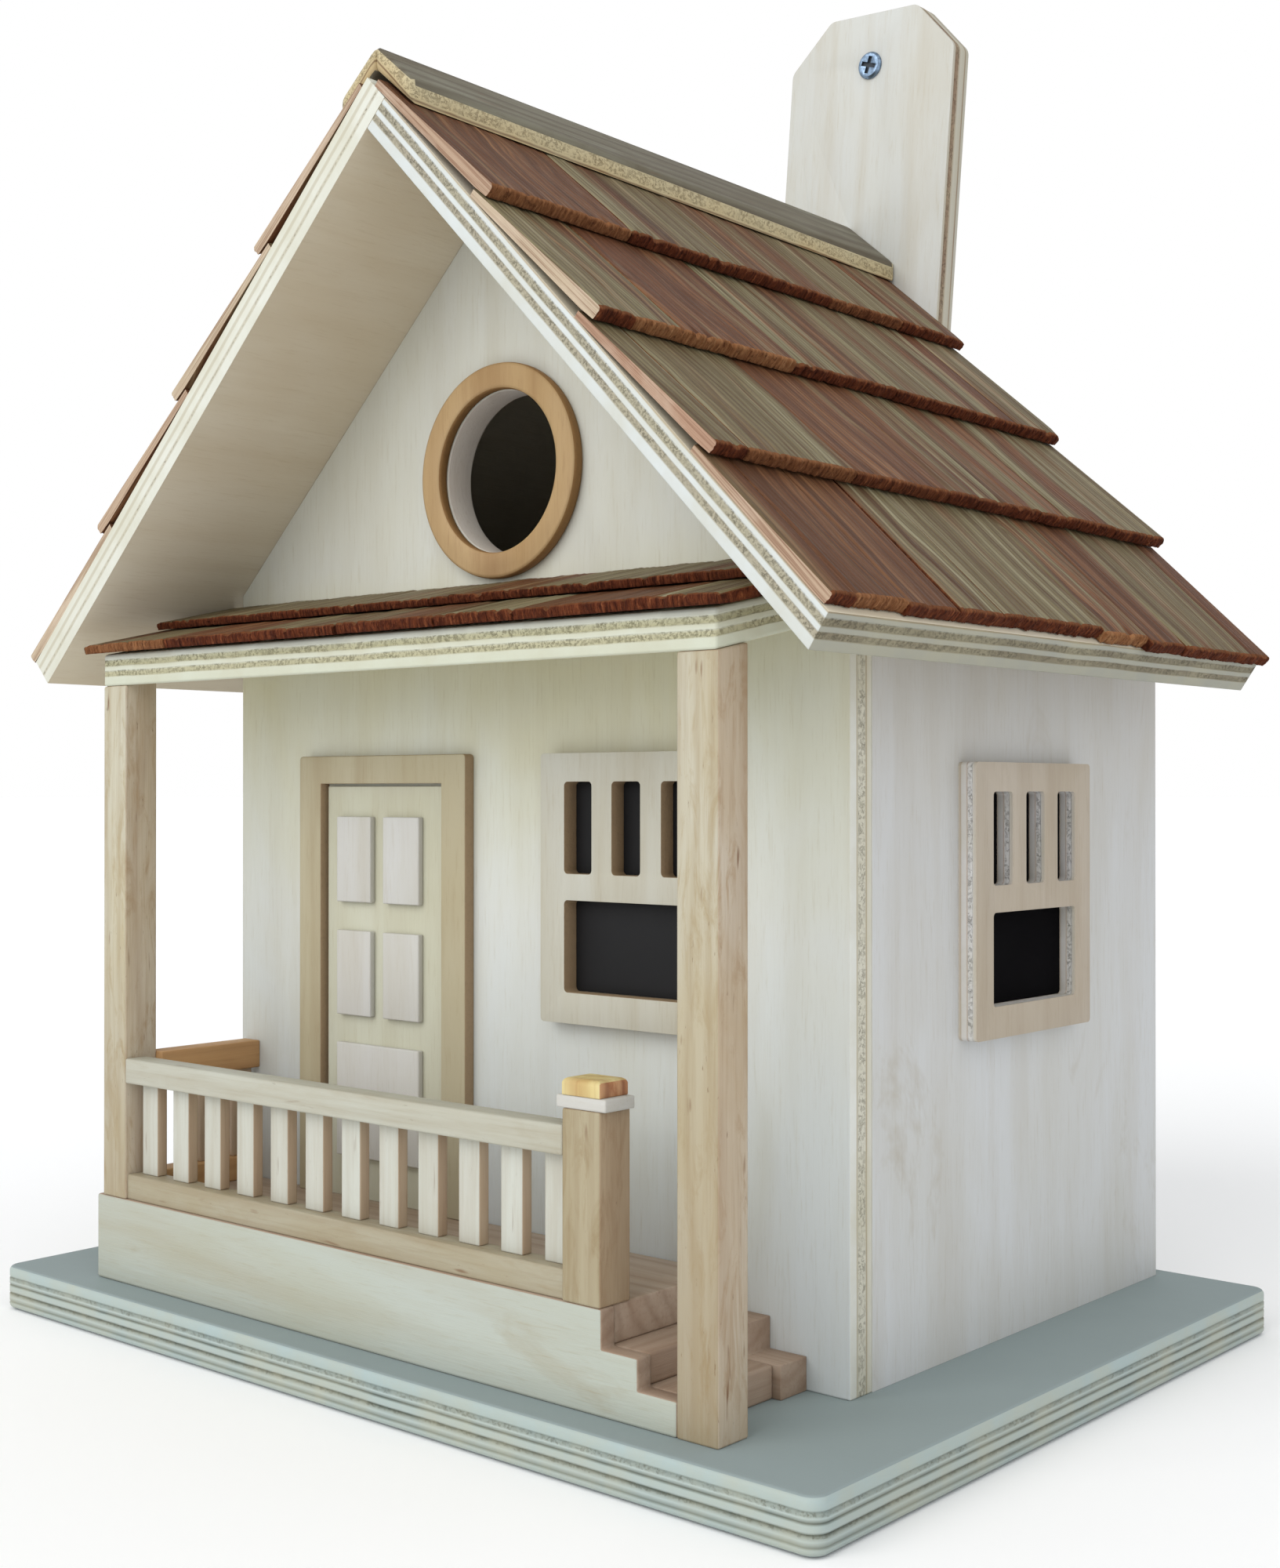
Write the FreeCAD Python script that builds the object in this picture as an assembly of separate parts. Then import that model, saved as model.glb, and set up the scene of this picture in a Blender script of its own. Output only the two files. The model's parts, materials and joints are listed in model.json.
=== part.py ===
"""Cottage birdhouse: plywood gable house on a base board, cedar shingle roof with a ridge cap,
hanger board with its mounting screw, and a porch with shed roof, posts, railing and side steps.

Millimetres.  +Z up, the front faces -Y, +X is to the right seen from the front.
The origin is the centre of the base board's underside.
"""
import FreeCAD, Part
import math
import os

V = FreeCAD.Vector
X_AXIS = V(1, 0, 0)
Y_AXIS = V(0, 1, 0)
Z_AXIS = V(0, 0, 1)

# ---------------------------------------------------------------- stock sizes
PLY = 9.3                    # 3/8 in plywood: walls, roof, hanger, deck, porch roof
THIN_PLY = 5.3               # porch front board and window frames
TRIM = 3.6                   # door frame and entrance ring
SHINGLE_TOP_T = 2.3          # cedar shingles taper from their upper end
SHINGLE_T = 4.1              # to their butt
POST = 11.0                  # square porch post
RAIL = 7.3                   # square rail
BALUSTER_W = 7.4             # baluster width along its rail
BALUSTER_T = 3.4             # baluster depth across its rail
GAP = 0.4                    # saw-cut gap between neighbouring shingles
PLAY = 0.3                   # clearance beside the moving cover

# ---------------------------------------------------------------- base board
BASE_W = 305.0
BASE_D = 226.0
BASE_T = 12.7
BASE_CORNER = 4.5            # its corners are rounded in plan
BASE_RIM = 1.4               # and its top and bottom edges are eased

# ---------------------------------------------------------------- house body
HOUSE_X = 5.0                # the house stands a little right of the base's centre
HOUSE_W = 231.4
HOUSE_LEFT = HOUSE_X - HOUSE_W / 2
HOUSE_RIGHT = HOUSE_X + HOUSE_W / 2
FRONT_Y = -55.0              # outer face of the front wall
BACK_Y = 105.4               # outer face of the back wall

# ---------------------------------------------------------------- main roof
RIDGE_X = 5.7                # where the two outer roof planes meet
RIDGE_Z = 341.1
PITCH_LEFT = 43.2            # degrees
PITCH_RIGHT = 45.3
SLOPE_LEFT = 209.8           # ridge to eave along the outer face
SLOPE_RIGHT = 205.4
EAVE_BEVEL = 1.9             # the right eave is sawn at an angle and reaches further below
ROOF_FRONT = -105.5
ROOF_BACK = 111.3

FIRST_BUTT = 59.5            # ridge to the first course's butt
COURSES = 4
LAP = 6.0                    # a course covers this much of the next one
EAVE_DRIP_LEFT = 1.6         # last butt beyond the eave
EAVE_DRIP_RIGHT = 2.3
EAVE_SHIFTS = (-3.1, -2.9, -2.7, -2.7, -2.7, -1.2, -0.3, 0.7, 0.6)  # uneven last course
# seams between neighbouring shingles of each course, measured back from the roof's front edge
SEAMS_RIGHT = [
    (52, 98, 143, 181),
    (13, 31, 77, 101, 125, 168, 191),
    (12, 54, 96, 111, 143, 158, 187),
    (9, 29, 50, 70, 119, 142, 163, 205),
]
SEAMS_LEFT = [
    (38, 84, 131, 176),
    (21, 66, 92, 135, 158, 196),
    (33, 50, 97, 126, 171, 190),
    (17, 58, 83, 119, 147, 187),
]

CAP_T = 5.0                  # ridge cap board
CAP_HALF_FRONT = 13.5        # each board is wider at the back
CAP_HALF_BACK = 18.5
CAP_FRONT = -103.0

# ---------------------------------------------------------------- hanger board
HANGER_W = 65.4
HANGER_PIVOT_Z = 290.0       # the board leans about this point on its centre line
HANGER_UP = 131.0            # from that point to the top edge
HANGER_DOWN = 50.0
HANGER_TILT = 4.4            # degrees, towards +X
HANGER_CHAMFER = 15.5
SCREW_BELOW_TOP = 17.5

# ---------------------------------------------------------------- entrance
ENTRANCE_X = 5.2
ENTRANCE_Z = 246.0
ENTRANCE_R = 22.5
RING_R = 29.7

# ---------------------------------------------------------------- door
DOOR_FRAME_X = (-78.3, -6.7)
DOOR_FRAME_TOP = 168.1
DOOR_STILE = 9.7
DOOR_HEAD = 8.2
DOOR_CORNER = 1.2
DOOR_T = 1.5
DOOR_GAP = (1.2, 0.3, 0.8)   # left, right and top gaps round the door
PANEL_T = 2.0
PANEL_COLUMNS = [(-61.3, -46.4), (-41.0, -25.8)]
PANEL_ROWS = [(125.0, 150.2), (91.6, 116.6)]
PANEL_BOTTOM_ROW = (50.0, 83.4)

# ---------------------------------------------------------------- windows
WINDOW_W = 60.5
WINDOW_H = 71.6
FRONT_WINDOW = (24.1, 96.2)  # left edge, sill height
SIDE_WINDOW = (-6.4, 93.6)   # front edge along Y, sill height
SLOT_LEFT = 8.6
SLOT_W = 9.8
SLOT_PITCH = 16.8
SLOT_SILL = 39.6
SLOT_TOP = 64.0
LIGHT_SILL = 8.2             # the wide lower light
LIGHT_TOP = 32.6
SLOT_ROUND = 1.2
PANE_T = 0.6
PANE_PLAY = 0.1

# ---------------------------------------------------------------- porch
PORCH_FRONT = -102.6
PORCH_LEFT = -118.4
DECK_TOP = 37.6
DECK_RIGHT = 83.7
STEP_UPPER = (94.8, 28.3)    # right end and height of each tread
STEP_LOWER = (106.5, 20.9)   # ends against the right post
STEP_INSET = 0.8             # treads stop short of the stepped boards
STEP_ROOT = 60.0             # hidden left end of the treads
STEP_BACK_UPPER = (97.0, 29.0)    # the back board's steps reach further
STEP_BACK_LOWER = (108.0, 21.1)
BACK_BOARD_T = 10.5

POST_LEFT_X = -115.4
POST_RIGHT_X = (106.5, 118.4)
PORCH_PITCH = 12.0
PORCH_EAVE_Z = 188.8         # underside of the porch roof at its front edge
PORCH_ROOF_X = (-115.4, 118.0)
PORCH_SHINGLE_X = [(-119.5, 121.3), (-115.3, 117.2)]
PORCH_DRIP = 2.0
PORCH_SECOND_BUTT = 21.5
PORCH_SEAMS = [(38.5, 75.5, 113, 150, 177.5, 221), (47.8, 86.3, 120.8, 158.3, 195.8, 216.3)]
# shingle surfaces over the board, at the drip and at the wall, from below upwards
PORCH_LEVELS = [(PLY + 0.6, PLY), (PLY + 3.8, PLY + 4.6), (PLY + 6.5, PLY + 7.3)]

RAIL_TOP_Z = 71.7
RAIL_FRONT_TOP = PORCH_FRONT
RAIL_FRONT_LOW = -101.8
SIDE_RAIL_H = 8.4
BALUSTERS = 12
BALUSTER_FIRST_X = -97.5
BALUSTER_PITCH = 14.85
BALUSTER_FRONT = -98.7
SIDE_RAIL_X = (-109.1, -101.8)
SIDE_BALUSTER_Y = [-72.4, -60.4]

NEWEL_X = 71.4
NEWEL_W = 11.9
NEWEL_TOP = 83.1
CAP_PLATE = (15.7, 10.5, 3.1)    # width, depth and height
CAP_BLOCK = (12.1, 10.1, 4.1)
CAP_BLOCK_ROUND = 1.4

# ---------------------------------------------------------------- clean-out
CLEANOUT_X = 5.0
CLEANOUT_Z = 52.0
CLEANOUT_R = 27.0
COVER_R = 35.0
COVER_PIVOT_Z = 95.0
COVER_PIVOT_R = 14.0

# ---------------------------------------------------------------- screws and brads
MOUNT_SCREW = {"r": 2.4, "head_r": 4.5, "head_h": 1.4, "crown": 0.85, "length": 32.0, "tip": 6.0}
MOUNT_SHANK = (2.0, 9.8)     # radius and length of the plain shank under its head
PIVOT_SCREW = {"r": 2.0, "head_r": 4.0, "head_h": 2.2, "crown": 0.55, "length": 18.0, "tip": 2.5}
BASE_SCREW = {"r": 1.75, "head_r": 3.5, "head_h": 2.2, "length": 32.0, "tip": 5.0}
MOUNT_HOLE_R = 2.6
PIVOT_CLEARANCE = 0.06
RECESS = (0.63, 0.155, 0.9)        # half length and half width as shares of the head, and depth
MOUNT_RECESS_TURN = -20.0
BASE_SCREW_Y = [-20.0, 75.0]
BASE_SCREW_SINK = 0.6
BRAD_R = 0.8
BRAD_HEAD_R = 1.5
BRAD_HEAD_H = 0.8
BRAD_LENGTH = 25.0
BRAD_ALONG = [12.0, 25.0]    # places along each slope


class Incline:
    """A line in a vertical plane: h runs along X or Y, s along the line, n above it."""

    def __init__(self, h, z, angle, sign_h=1, sign_z=1):
        self.h, self.z = h, z
        self.dh = sign_h * math.cos(math.radians(angle))
        self.dz = sign_z * math.sin(math.radians(angle))
        flip = 1 if self.dh > 0 else -1
        self.nh, self.nz = -self.dz * flip, self.dh * flip

    def at(self, s, n=0.0):
        return (self.h + s * self.dh + n * self.nh, self.z + s * self.dz + n * self.nz)

    def z_at(self, h, n=0.0):
        s = (h - self.h - n * self.nh) / self.dh
        return self.z + s * self.dz + n * self.nz


ROOF_R = Incline(RIDGE_X, RIDGE_Z, PITCH_RIGHT, 1, -1)
ROOF_L = Incline(RIDGE_X, RIDGE_Z, PITCH_LEFT, -1, -1)
PORCH = Incline(PORCH_FRONT, PORCH_EAVE_Z, PORCH_PITCH)
PORCH_DEPTH = (FRONT_Y - PORCH_FRONT) / PORCH.dh


# ================================================================ solids
def block(x0, x1, y0, y1, z0, z1):
    return Part.makeBox(x1 - x0, y1 - y0, z1 - z0, V(x0, y0, z0))


def wire_xz(points, y):
    corners = [V(x, y, z) for x, z in points]
    return Part.makePolygon(corners + corners[:1])


def prism_xz(points, y0, y1):
    return Part.Face(wire_xz(points, y0)).extrude(V(0, y1 - y0, 0))


def prism_yz(points, x0, x1):
    corners = [V(x0, y, z) for y, z in points]
    face = Part.Face(Part.makePolygon(corners + corners[:1]))
    return face.extrude(V(x1 - x0, 0, 0))


def edges_along(solid, axis):
    """The straight edges of a solid that run along one axis."""
    found = []
    for edge in solid.Edges:
        ends = [v.Point for v in edge.Vertexes]
        if len(ends) == 2 and (ends[1] - ends[0]).cross(axis).Length < 1e-6:
            found.append(edge)
    return found


def rounded_block(x0, x1, y0, y1, z0, z1, radius, axis):
    solid = block(x0, x1, y0, y1, z0, z1)
    return solid.makeFillet(radius, edges_along(solid, axis))


def group(solids):
    return Part.makeCompound(solids)


def export(shape, node):
    shape.exportStep("parts/" + node + ".step")


def screw(spec, countersunk=False, shank=None):
    """A screw along +Y with the underside of its head at y = 0 and its shank running to -Y."""
    r, length, tip = spec["r"], spec["length"], spec["tip"]
    head_r, head_h = spec["head_r"], spec["head_h"]
    neck_r = shank[0] if shank else r
    if countersunk:
        outline = [(0, 0), (head_r, 0), (neck_r, -head_h)]
    else:
        outline = [(0, head_h), (head_r * spec["crown"], head_h), (head_r, head_h * 0.45)]
        outline += [(head_r, 0), (neck_r, 0)]
    if shank:
        outline += [(neck_r, -shank[1]), (r, -shank[1])]
    outline += [(r, tip - length), (0, -length)]
    corners = [V(x, y, 0) for x, y in outline]
    face = Part.Face(Part.makePolygon(corners + corners[:1]))
    body = face.revolve(V(0, 0, 0), Y_AXIS, 360)
    top = 0 if countersunk else head_h
    half, side, depth = head_r * RECESS[0], head_r * RECESS[1], RECESS[2]
    for dx, dz in ((half, side), (side, half)):
        body = body.cut(block(-dx, dx, top - depth, top + 1, -dz, dz))
    return body


def placed(shape, x, y, z, axis=Z_AXIS, turn=0.0):
    moved = shape.copy()
    moved.rotate(V(0, 0, 0), axis, turn)
    moved.translate(V(x, y, z))
    return moved


# ================================================================ fixings
def base_screws():
    """Four countersunk screws that run up through the base into the side walls."""
    solids = []
    for x in (HOUSE_LEFT + PLY / 2, HOUSE_RIGHT - PLY / 2):
        for y in BASE_SCREW_Y:
            solids.append(placed(screw(BASE_SCREW, True), x, y, BASE_SCREW_SINK, X_AXIS, -90))
    return solids


def base_screw_cutters():
    """The space under each head and in its recess, carried down past the base's underside."""
    head_r, head_h = BASE_SCREW["head_r"], BASE_SCREW["head_h"]
    wells = []
    for solid in base_screws():
        x, y = solid.BoundBox.Center.x, solid.BoundBox.Center.y
        wells.append(Part.makeCylinder(head_r, BASE_SCREW_SINK + 1, V(x, y, -1)))
        wells.append(Part.makeCylinder(head_r * 0.7, head_h, V(x, y, 0)))
    return wells


def hanger_point(lateral, up):
    """A point of the leaning hanger board, from its pivot on the board's centre line."""
    tilt = math.radians(HANGER_TILT)
    x = RIDGE_X + lateral * math.cos(tilt) + up * math.sin(tilt)
    z = HANGER_PIVOT_Z - lateral * math.sin(tilt) + up * math.cos(tilt)
    return (x, z)


def mounting_screw():
    x, z = hanger_point(0, HANGER_UP - SCREW_BELOW_TOP)
    turned = placed(screw(MOUNT_SCREW, shank=MOUNT_SHANK), 0, 0, 0, Y_AXIS, MOUNT_RECESS_TURN)
    return placed(turned, x, ROOF_BACK, z, Z_AXIS, 180)


def hanger_brads():
    """Brads from the back of the hanger board into the rear ends of both roof panels."""
    solids = []
    back = ROOF_BACK + PLY
    for slope in (ROOF_L, ROOF_R):
        for along in BRAD_ALONG:
            x, z = slope.at(along + PLY, -PLY / 2)
            shank = Part.makeCylinder(BRAD_R, BRAD_LENGTH, V(x, back, z), V(0, -1, 0))
            head = Part.makeCylinder(BRAD_HEAD_R, BRAD_HEAD_H, V(x, back, z), V(0, -1, 0))
            solids.append(shank.fuse(head).removeSplitter())
    return solids


def pivot_screw():
    y = BACK_Y + PLAY + PLY + PLAY
    return placed(screw(PIVOT_SCREW), CLEANOUT_X, y, COVER_PIVOT_Z)


# ================================================================ base and walls
def base_board():
    board = block(-BASE_W / 2, BASE_W / 2, -BASE_D / 2, BASE_D / 2, 0, BASE_T)
    board = board.makeFillet(BASE_CORNER, edges_along(board, Z_AXIS))
    rims = [e for e in board.Edges if abs(e.BoundBox.ZMin - e.BoundBox.ZMax) < 1e-6]
    board = board.makeFillet(BASE_RIM, rims)
    return board.cut(group(base_screws() + base_screw_cutters()))


def gable(x0, x1, y0, y1):
    """A wall from the base up to the underside of both roof panels."""
    left = ROOF_L.z_at(x0, -PLY)
    right = ROOF_R.z_at(x1, -PLY)
    peak_x, peak_z = roof_valley()
    outline = [(x0, BASE_T), (x1, BASE_T), (x1, right), (peak_x, peak_z), (x0, left)]
    return prism_xz(outline, y0, y1)


def roof_valley():
    """Where the undersides of the two roof panels meet."""
    slope_l = ROOF_L.dz / ROOF_L.dh
    slope_r = ROOF_R.dz / ROOF_R.dh
    z_l = ROOF_L.z_at(RIDGE_X, -PLY)
    z_r = ROOF_R.z_at(RIDGE_X, -PLY)
    dx = (z_r - z_l) / (slope_l - slope_r)
    return (RIDGE_X + dx, z_l + slope_l * dx)


def front_wall():
    wall = gable(HOUSE_LEFT, HOUSE_RIGHT, FRONT_Y, FRONT_Y + PLY)
    hole = Part.makeCylinder(ENTRANCE_R, PLY + 2, V(ENTRANCE_X, FRONT_Y - 1, ENTRANCE_Z), Y_AXIS)
    return wall.cut(hole)


def back_wall():
    wall = gable(HOUSE_LEFT + PLY, HOUSE_RIGHT - PLY, BACK_Y - PLY, BACK_Y)
    hole = Part.makeCylinder(CLEANOUT_R, PLY + 2, V(CLEANOUT_X, BACK_Y - PLY - 1, CLEANOUT_Z), Y_AXIS)
    return wall.cut(hole).cut(pivot_screw())


def side_wall(x0, slope):
    outline = [(x0, BASE_T), (x0 + PLY, BASE_T)]
    outline += [(x0 + PLY, slope.z_at(x0 + PLY, -PLY)), (x0, slope.z_at(x0, -PLY))]
    wall = prism_xz(outline, FRONT_Y + PLY, BACK_Y)
    return wall.cut(group(base_screws()))


def cleanout_cover():
    """A teardrop of plywood that hangs from one screw and swings clear of the hole."""
    y = BACK_Y + PLAY
    rise = COVER_PIVOT_Z - CLEANOUT_Z
    lean = math.acos((COVER_R - COVER_PIVOT_R) / rise)
    tangents = []
    for radius, z in ((COVER_R, CLEANOUT_Z), (COVER_PIVOT_R, COVER_PIVOT_Z)):
        dx = radius * math.sin(lean)
        dz = radius * math.cos(lean)
        tangents.append((dx, z + dz))
    (big_x, big_z), (small_x, small_z) = tangents
    big_arc = Part.Arc(V(big_x, 0, big_z), V(0, 0, CLEANOUT_Z - COVER_R), V(-big_x, 0, big_z))
    small_arc = Part.Arc(V(-small_x, 0, small_z), V(0, 0, COVER_PIVOT_Z + COVER_PIVOT_R),
                         V(small_x, 0, small_z))
    left = Part.LineSegment(V(-big_x, 0, big_z), V(-small_x, 0, small_z))
    right = Part.LineSegment(V(small_x, 0, small_z), V(big_x, 0, big_z))
    outline = Part.Wire([g.toShape() for g in (big_arc, left, small_arc, right)])
    plate = Part.Face(outline).extrude(V(0, PLY, 0))
    plate.translate(V(CLEANOUT_X, y, 0))
    hole_r = PIVOT_SCREW["r"] + PIVOT_CLEARANCE
    return plate.cut(Part.makeCylinder(hole_r, PLY + 2, V(CLEANOUT_X, y - 1, COVER_PIVOT_Z), Y_AXIS))


# ================================================================ main roof
def roof_panel_left():
    """Laps over the right panel's upper end and is planed flush with its outer face."""
    top = crossing(ROOF_L, ROOF_R, -PLY)
    outline = [ROOF_L.at(0), ROOF_L.at(SLOPE_LEFT), ROOF_L.at(SLOPE_LEFT, -PLY), top]
    return prism_xz(outline, ROOF_FRONT, ROOF_BACK).cut(group(hanger_brads()))


def roof_panel_right():
    """Butts against the left panel's underside."""
    upper = crossing(ROOF_L, ROOF_R, -PLY)
    outline = [upper, ROOF_R.at(SLOPE_RIGHT), ROOF_R.at(SLOPE_RIGHT + EAVE_BEVEL, -PLY), roof_valley()]
    return prism_xz(outline, ROOF_FRONT, ROOF_BACK).cut(group(hanger_brads()))


def crossing(lapping, lapped, offset):
    """Where the lapping panel's line at this offset meets the lapped panel's outer face."""
    slope_a = lapping.dz / lapping.dh
    slope_b = lapped.dz / lapped.dh
    z_a = lapping.z_at(RIDGE_X, offset)
    z_b = lapped.z_at(RIDGE_X)
    dx = (z_b - z_a) / (slope_a - slope_b)
    return (RIDGE_X + dx, z_a + slope_a * dx)


def course_span(course, slope_length, drip):
    """Upper end and butt of one course, measured from the ridge down the slope."""
    exposure = (slope_length + drip - FIRST_BUTT) / (COURSES - 1)
    butt = FIRST_BUTT + course * exposure
    return (butt - exposure - LAP, butt)


def course_tilt(course, slope_length, drip):
    """A course lifts at its butt to lie on the next one; the last lies flat on the panel."""
    if course == COURSES - 1:
        return 0.0
    upper, butt = course_span(course, slope_length, drip)
    length = butt - upper
    bearing = SHINGLE_TOP_T + (SHINGLE_T - SHINGLE_TOP_T) * LAP / length
    return math.asin(bearing / (length - LAP))


def shingle_line(slope, course, slope_length, drip):
    """The underside of a course as its own incline, from its upper end."""
    upper, butt = course_span(course, slope_length, drip)
    x, z = slope.at(upper)
    angle = math.degrees(math.atan2(-slope.dz, abs(slope.dh)) - course_tilt(course, slope_length, drip))
    sign = 1 if slope.dh > 0 else -1
    return Incline(x, z, angle, sign, -1), butt - upper


def slats(seams, start, end):
    """Front and back of each shingle between the seams."""
    edges = [start] + [start + seam for seam in seams] + [end]
    spans = []
    for low, high in zip(edges[:-1], edges[1:]):
        near = low if low == start else low + GAP / 2
        far = high if high == end else high - GAP / 2
        spans.append((near, far))
    return spans


def roof_course(slope, course, slope_length, drip, seams, shifts=()):
    """One course; shifts moves single butts down the slope."""
    line, length = shingle_line(slope, course, slope_length, drip)
    solids = []
    for i, (near, far) in enumerate(slats(seams, ROOF_FRONT, ROOF_BACK)):
        end = length + (shifts[i] if shifts else 0.0)
        outline = [line.at(0), line.at(end), line.at(end, SHINGLE_T), line.at(0, SHINGLE_TOP_T)]
        solids.append(prism_xz(outline, near, far))
    return group(solids)


def ridge_cap(slope, slope_length, drip, side):
    """One half of the ridge cap, lying on the first course and mitred on the ridge's plane."""
    under, length = shingle_line(slope, 0, slope_length, drip)
    x, z = under.at(0, SHINGLE_TOP_T)
    taper = math.degrees(math.atan((SHINGLE_T - SHINGLE_TOP_T) / length))
    pitch = math.degrees(math.atan2(-under.dz, abs(under.dh))) - taper
    line = Incline(x, z, pitch, side, -1)
    ends = []
    for half, y in ((CAP_HALF_FRONT, CAP_FRONT), (CAP_HALF_BACK, ROOF_BACK)):
        edge_x = RIDGE_X + side * half
        outline = [(RIDGE_X, line.z_at(RIDGE_X)), (edge_x, line.z_at(edge_x))]
        outline += [(edge_x, line.z_at(edge_x, CAP_T)), (RIDGE_X, line.z_at(RIDGE_X, CAP_T))]
        ends.append(wire_xz(outline, y))
    return Part.makeLoft(ends, True, True)


def hanger_board():
    half = HANGER_W / 2
    shoulder = half - HANGER_CHAMFER
    low = HANGER_UP - HANGER_CHAMFER
    outline = [(-half, -HANGER_DOWN), (half, -HANGER_DOWN), (half, low), (shoulder, HANGER_UP)]
    outline += [(-shoulder, HANGER_UP), (-half, low)]
    board = prism_xz([hanger_point(a, b) for a, b in outline], ROOF_BACK, ROOF_BACK + PLY)
    board = board.makeFillet(4.0, edges_along(board, Y_AXIS))
    x, z = hanger_point(0, HANGER_UP - SCREW_BELOW_TOP)
    hole = Part.makeCylinder(MOUNT_HOLE_R, PLY + 2, V(x, ROOF_BACK - 1, z), Y_AXIS)
    return board.cut(hole).cut(group(hanger_brads()))


# ================================================================ entrance, door, windows
def entrance_ring():
    y = FRONT_Y - TRIM
    ring = Part.makeCylinder(RING_R, TRIM, V(ENTRANCE_X, y, ENTRANCE_Z), Y_AXIS)
    return ring.cut(Part.makeCylinder(ENTRANCE_R, TRIM + 2, V(ENTRANCE_X, y - 1, ENTRANCE_Z), Y_AXIS))


def door_frame():
    x0, x1 = DOOR_FRAME_X
    frame = block(x0, x1, FRONT_Y - TRIM, FRONT_Y, DECK_TOP, DOOR_FRAME_TOP)
    corners = [e for e in edges_along(frame, Y_AXIS) if e.BoundBox.ZMin > DECK_TOP + 1]
    frame = frame.makeFillet(DOOR_CORNER, corners)
    way = block(x0 + DOOR_STILE, x1 - DOOR_STILE, FRONT_Y - TRIM - 1, FRONT_Y + 1,
                DECK_TOP - 1, DOOR_FRAME_TOP - DOOR_HEAD)
    return frame.cut(way)


def door_slab():
    x0, x1 = DOOR_FRAME_X
    left, right, top = DOOR_GAP
    return block(x0 + DOOR_STILE + left, x1 - DOOR_STILE - right, FRONT_Y - DOOR_T, FRONT_Y,
                 DECK_TOP, DOOR_FRAME_TOP - DOOR_HEAD - top)


def door_panels():
    y1 = FRONT_Y - DOOR_T
    solids = []
    for z0, z1 in PANEL_ROWS:
        for x0, x1 in PANEL_COLUMNS:
            solids.append(block(x0, x1, y1 - PANEL_T, y1, z0, z1))
    z0, z1 = PANEL_BOTTOM_ROW
    solids.append(block(PANEL_COLUMNS[0][0], PANEL_COLUMNS[1][1], y1 - PANEL_T, y1, z0, z1))
    return group(solids)


def window_lights(inset, y0, y1):
    """The three upper slots and the wide lower light of a window, in its own frame."""
    solids = []
    for i in range(3):
        x = SLOT_LEFT + i * SLOT_PITCH
        solids.append(rounded_block(x + inset, x + SLOT_W - inset, y0, y1,
                                    SLOT_SILL + inset, SLOT_TOP - inset, SLOT_ROUND, Y_AXIS))
    right = SLOT_LEFT + 2 * SLOT_PITCH + SLOT_W
    solids.append(rounded_block(SLOT_LEFT + inset, right - inset, y0, y1,
                                LIGHT_SILL + inset, LIGHT_TOP - inset, SLOT_ROUND, Y_AXIS))
    return solids


def window_frame():
    """A window lying against the plane y = 0 and facing -Y, with its lower left corner at 0, 0."""
    plate = rounded_block(0, WINDOW_W, -THIN_PLY, 0, 0, WINDOW_H, SLOT_ROUND, Y_AXIS)
    return plate.cut(group(window_lights(0, -THIN_PLY - 1, 1)))


def window_panes():
    return group(window_lights(PANE_PLAY, -PANE_T, 0))


def on_front(shape):
    return placed(shape, FRONT_WINDOW[0], FRONT_Y, FRONT_WINDOW[1])


def on_right(shape):
    return placed(shape, HOUSE_RIGHT, SIDE_WINDOW[0], SIDE_WINDOW[1], Z_AXIS, 90)


def on_left(shape):
    return placed(shape, HOUSE_LEFT, SIDE_WINDOW[0] + WINDOW_W, SIDE_WINDOW[1], Z_AXIS, -90)


# ================================================================ porch floor and steps
def step_profile(left, top, deck_right):
    """The side view of the deck and its two steps, as corners in X and Z."""
    (upper_x, upper_z), (lower_x, lower_z) = STEP_UPPER, STEP_LOWER
    outline = [(left, BASE_T), (lower_x, BASE_T), (lower_x, lower_z), (upper_x, lower_z)]
    outline += [(upper_x, upper_z), (deck_right, upper_z), (deck_right, top), (left, top)]
    return outline


def porch_front_board():
    outline = step_profile(PORCH_LEFT, DECK_TOP, DECK_RIGHT)
    return prism_xz(outline, PORCH_FRONT, PORCH_FRONT + THIN_PLY)


def porch_back_board():
    (upper_x, upper_z), (lower_x, lower_z) = STEP_BACK_UPPER, STEP_BACK_LOWER
    rest = DECK_TOP - PLY
    outline = [(PORCH_LEFT, BASE_T), (lower_x, BASE_T), (lower_x, lower_z), (upper_x, lower_z)]
    outline += [(upper_x, upper_z), (DECK_RIGHT, upper_z), (DECK_RIGHT, rest), (PORCH_LEFT, rest)]
    return prism_xz(outline, FRONT_Y - BACK_BOARD_T, FRONT_Y)


def deck_end_board():
    return block(PORCH_LEFT, PORCH_LEFT + THIN_PLY, PORCH_FRONT + THIN_PLY, FRONT_Y - BACK_BOARD_T,
                 BASE_T, DECK_TOP - PLY)


def porch_deck():
    return block(PORCH_LEFT, DECK_RIGHT - STEP_INSET, PORCH_FRONT + THIN_PLY, FRONT_Y,
                 DECK_TOP - PLY, DECK_TOP)


def step_tread(end, z0, z1):
    return block(STEP_ROOT, end - STEP_INSET, PORCH_FRONT + THIN_PLY, FRONT_Y - BACK_BOARD_T, z0, z1)


# ================================================================ porch posts and railing
def porch_post(foot, left, right):
    """A post whose head is cut to the slope of the porch roof."""
    y1 = PORCH_FRONT + POST
    outline = [(PORCH_FRONT, foot), (y1, foot), (y1, PORCH.z_at(y1)), (PORCH_FRONT, PORCH.z_at(PORCH_FRONT))]
    return prism_yz(outline, left, right)


def front_rail(y, z):
    return block(POST_LEFT_X + POST, NEWEL_X, y, y + RAIL, z, z + RAIL)


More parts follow.
